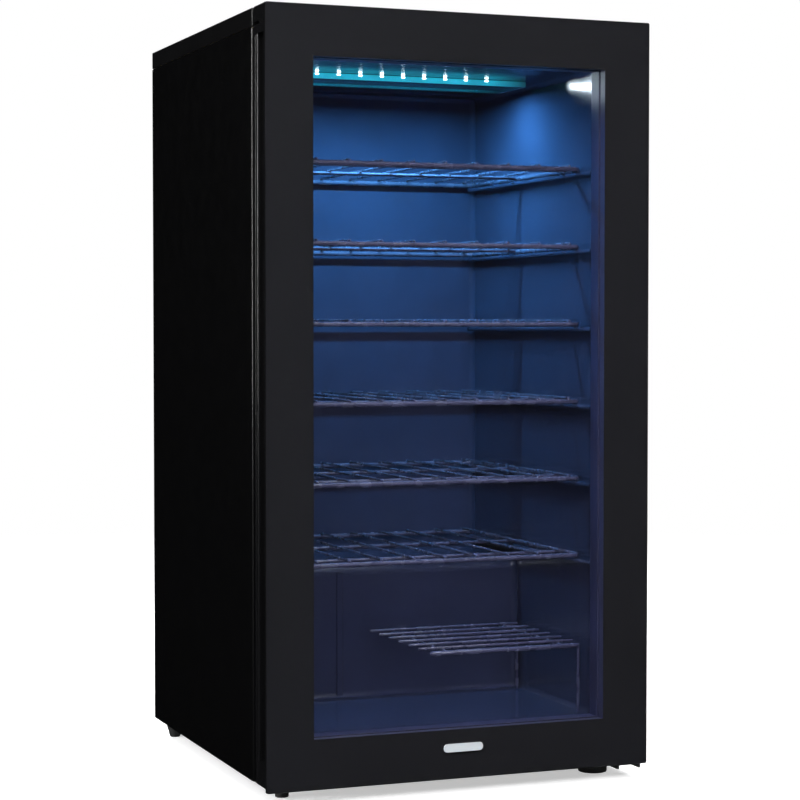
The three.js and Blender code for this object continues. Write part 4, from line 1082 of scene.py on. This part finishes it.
def door_frame():
    """Two uprights with finger grooves, two rails, and the spacer between the panes."""
    (_, half_width), (front, _), _ = extent("door_glass_front")
    (_, rear_pane_half), (_, rear_pane_back), _ = extent("door_glass_rear")
    window_half = half_width - BORDER
    rebate_half = rear_pane_half + 0.6 * MM
    rebate_back = rear_pane_back + 0.3 * MM
    groove = [front + depth for depth in GROOVE_DEPTHS]
    for side, word in ((-1, "left"), (1, "right")):
        node = f"door_stile_{word}"
        (x0, x1), (y0, y1), z = extent(node)
        outer = max(abs(x0), abs(x1))
        outline = [
            (window_half, y1), (window_half, rebate_back), (rebate_half, rebate_back), (rebate_half, y0),
            (outer, y0), (outer, groove[0]), (GROOVE_FLOOR, groove[0]), (GROOVE_FLOOR, groove[1]),
            (outer, groove[1]), (outer, groove[1] + 4 * MM), (outer - BEAD_STEP, groove[1] + 5 * MM),
            (outer - BEAD_STEP, y1 - 4.4 * MM), (outer, y1 - 4.4 * MM), (outer, y1),
        ]
        radii = [1.6, 0.3, 0.2, 0.2, 0.6, 1.2, 3.0, 3.0, 1.6, 0.4, 0.4, 0.3, 1.1, 0.6]
        outline = rounded([(side * x, y) for x, y in outline], [r * MM for r in radii], 4)
        bm = bmesh.new()
        prism(bm, outline, "z", z)
        made = piece(f"door_stile_{word}_moulding", bm, "door", FINISH["frame"], [node])
        # The faces inside the rebate take the reveal finish, the frame plastic with painted blue light.
        paint_faces(made, FINISH["reveal"], lambda face: abs(face.center.x) < rebate_half + 0.5 * MM)
    for word in ("top", "bottom"):
        made = softened(f"door_rail_{word}", FINISH["frame"], 0.35 * MM)
        z = extent(f"door_rail_{word}")[2]
        edge = z[0] if word == "top" else z[1]
        # The rail's inner face takes the same painted blue light.
        paint_faces(made, FINISH["reveal"], lambda face, edge=edge: abs(face.center.z - edge) < 1.4 * MM)
    x, y, z = extent("glass_spacer")
    inner = [(low + SPACER_WIDTH, high - SPACER_WIDTH) for low, high in (x, z)]
    bm = bmesh.new()
    ring_of(bm, (x, z), inner, [(0, y[0]), (1, y[0]), (1, y[1]), (0, y[1])])
    # The spacer bar also carries the reveal's painted blue light.
    piece("glass_spacer_bar", bm, "door", FINISH["reveal"], ["glass_spacer"])


def gasket():
    """A magnetic seal with a bellows, mitred at the corners."""
    x, (y0, y1), z = extent("door_gasket")
    side, foot, head = 13 * MM, 14 * MM, 16 * MM
    inner = ((x[0] + side, x[1] - side), (z[0] + foot, z[1] - head))
    profile = [
        (0.0, 0.0), (0.04, 0.2), (0.16, 0.34), (0.06, 0.48), (0.0, 0.62), (0.03, 0.9), (0.12, 1.0),
        (0.86, 1.0), (0.95, 0.9), (1.0, 0.62), (0.93, 0.48), (0.84, 0.34), (0.96, 0.2), (1.0, 0.0),
    ]
    bm = bmesh.new()
    ring_of(bm, (x, z), inner, [(share, y0 + depth * (y1 - y0)) for share, depth in profile])
    piece("door_gasket_bellows", bm, "door", FINISH["rubber"], ["door_gasket"], weighted=False)


BADGE_Z = 0.052
BADGE_HALF_WIDTH = 23 * MM
BADGE_HALF_HEIGHT = 4.5 * MM


def badge():
    """A blank silver lozenge under the window."""
    front = extent("door_glass_front")[1][0]
    across = (-BADGE_HALF_WIDTH, BADGE_HALF_WIDTH)
    up = (BADGE_Z - BADGE_HALF_HEIGHT, BADGE_Z + BADGE_HALF_HEIGHT)
    outline = rounded(rectangle(across, up), 4.4 * MM, 8)
    bm = bmesh.new()
    prism(bm, outline, "y", (front - 0.8 * MM, front - 0.05 * MM))
    rim = [e for e in bm.edges if all(v.co.y < front - 0.7 * MM for v in e.verts)]
    bmesh.ops.bevel(bm, geom=rim, offset=0.35 * MM, segments=3, profile=0.5, affect="EDGES")
    piece("door_badge", bm, "door", FINISH["badge"])


# ---------- Build ----------
scene.view_settings.view_transform = "Standard"
make_camera()
make_world()
make_floor()
make_lights()
FINISH = {**steel_finishes(), **plastic_finishes(), **glass_and_light_finishes()}
side_panel("side_panel_left", -1)
side_panel("side_panel_right", 1)
top_cover()
back_panel()
inner_liner()
liner_ribs()
base()
feet()
hinges()
condenser()
compressor()
pipes()
ceiling_light()
control()
for shelf in range(SHELF_COUNT):
    wire_shelf(shelf)
lower_rack()
door_glass()
printed_border()
door_frame()
gasket()
badge()
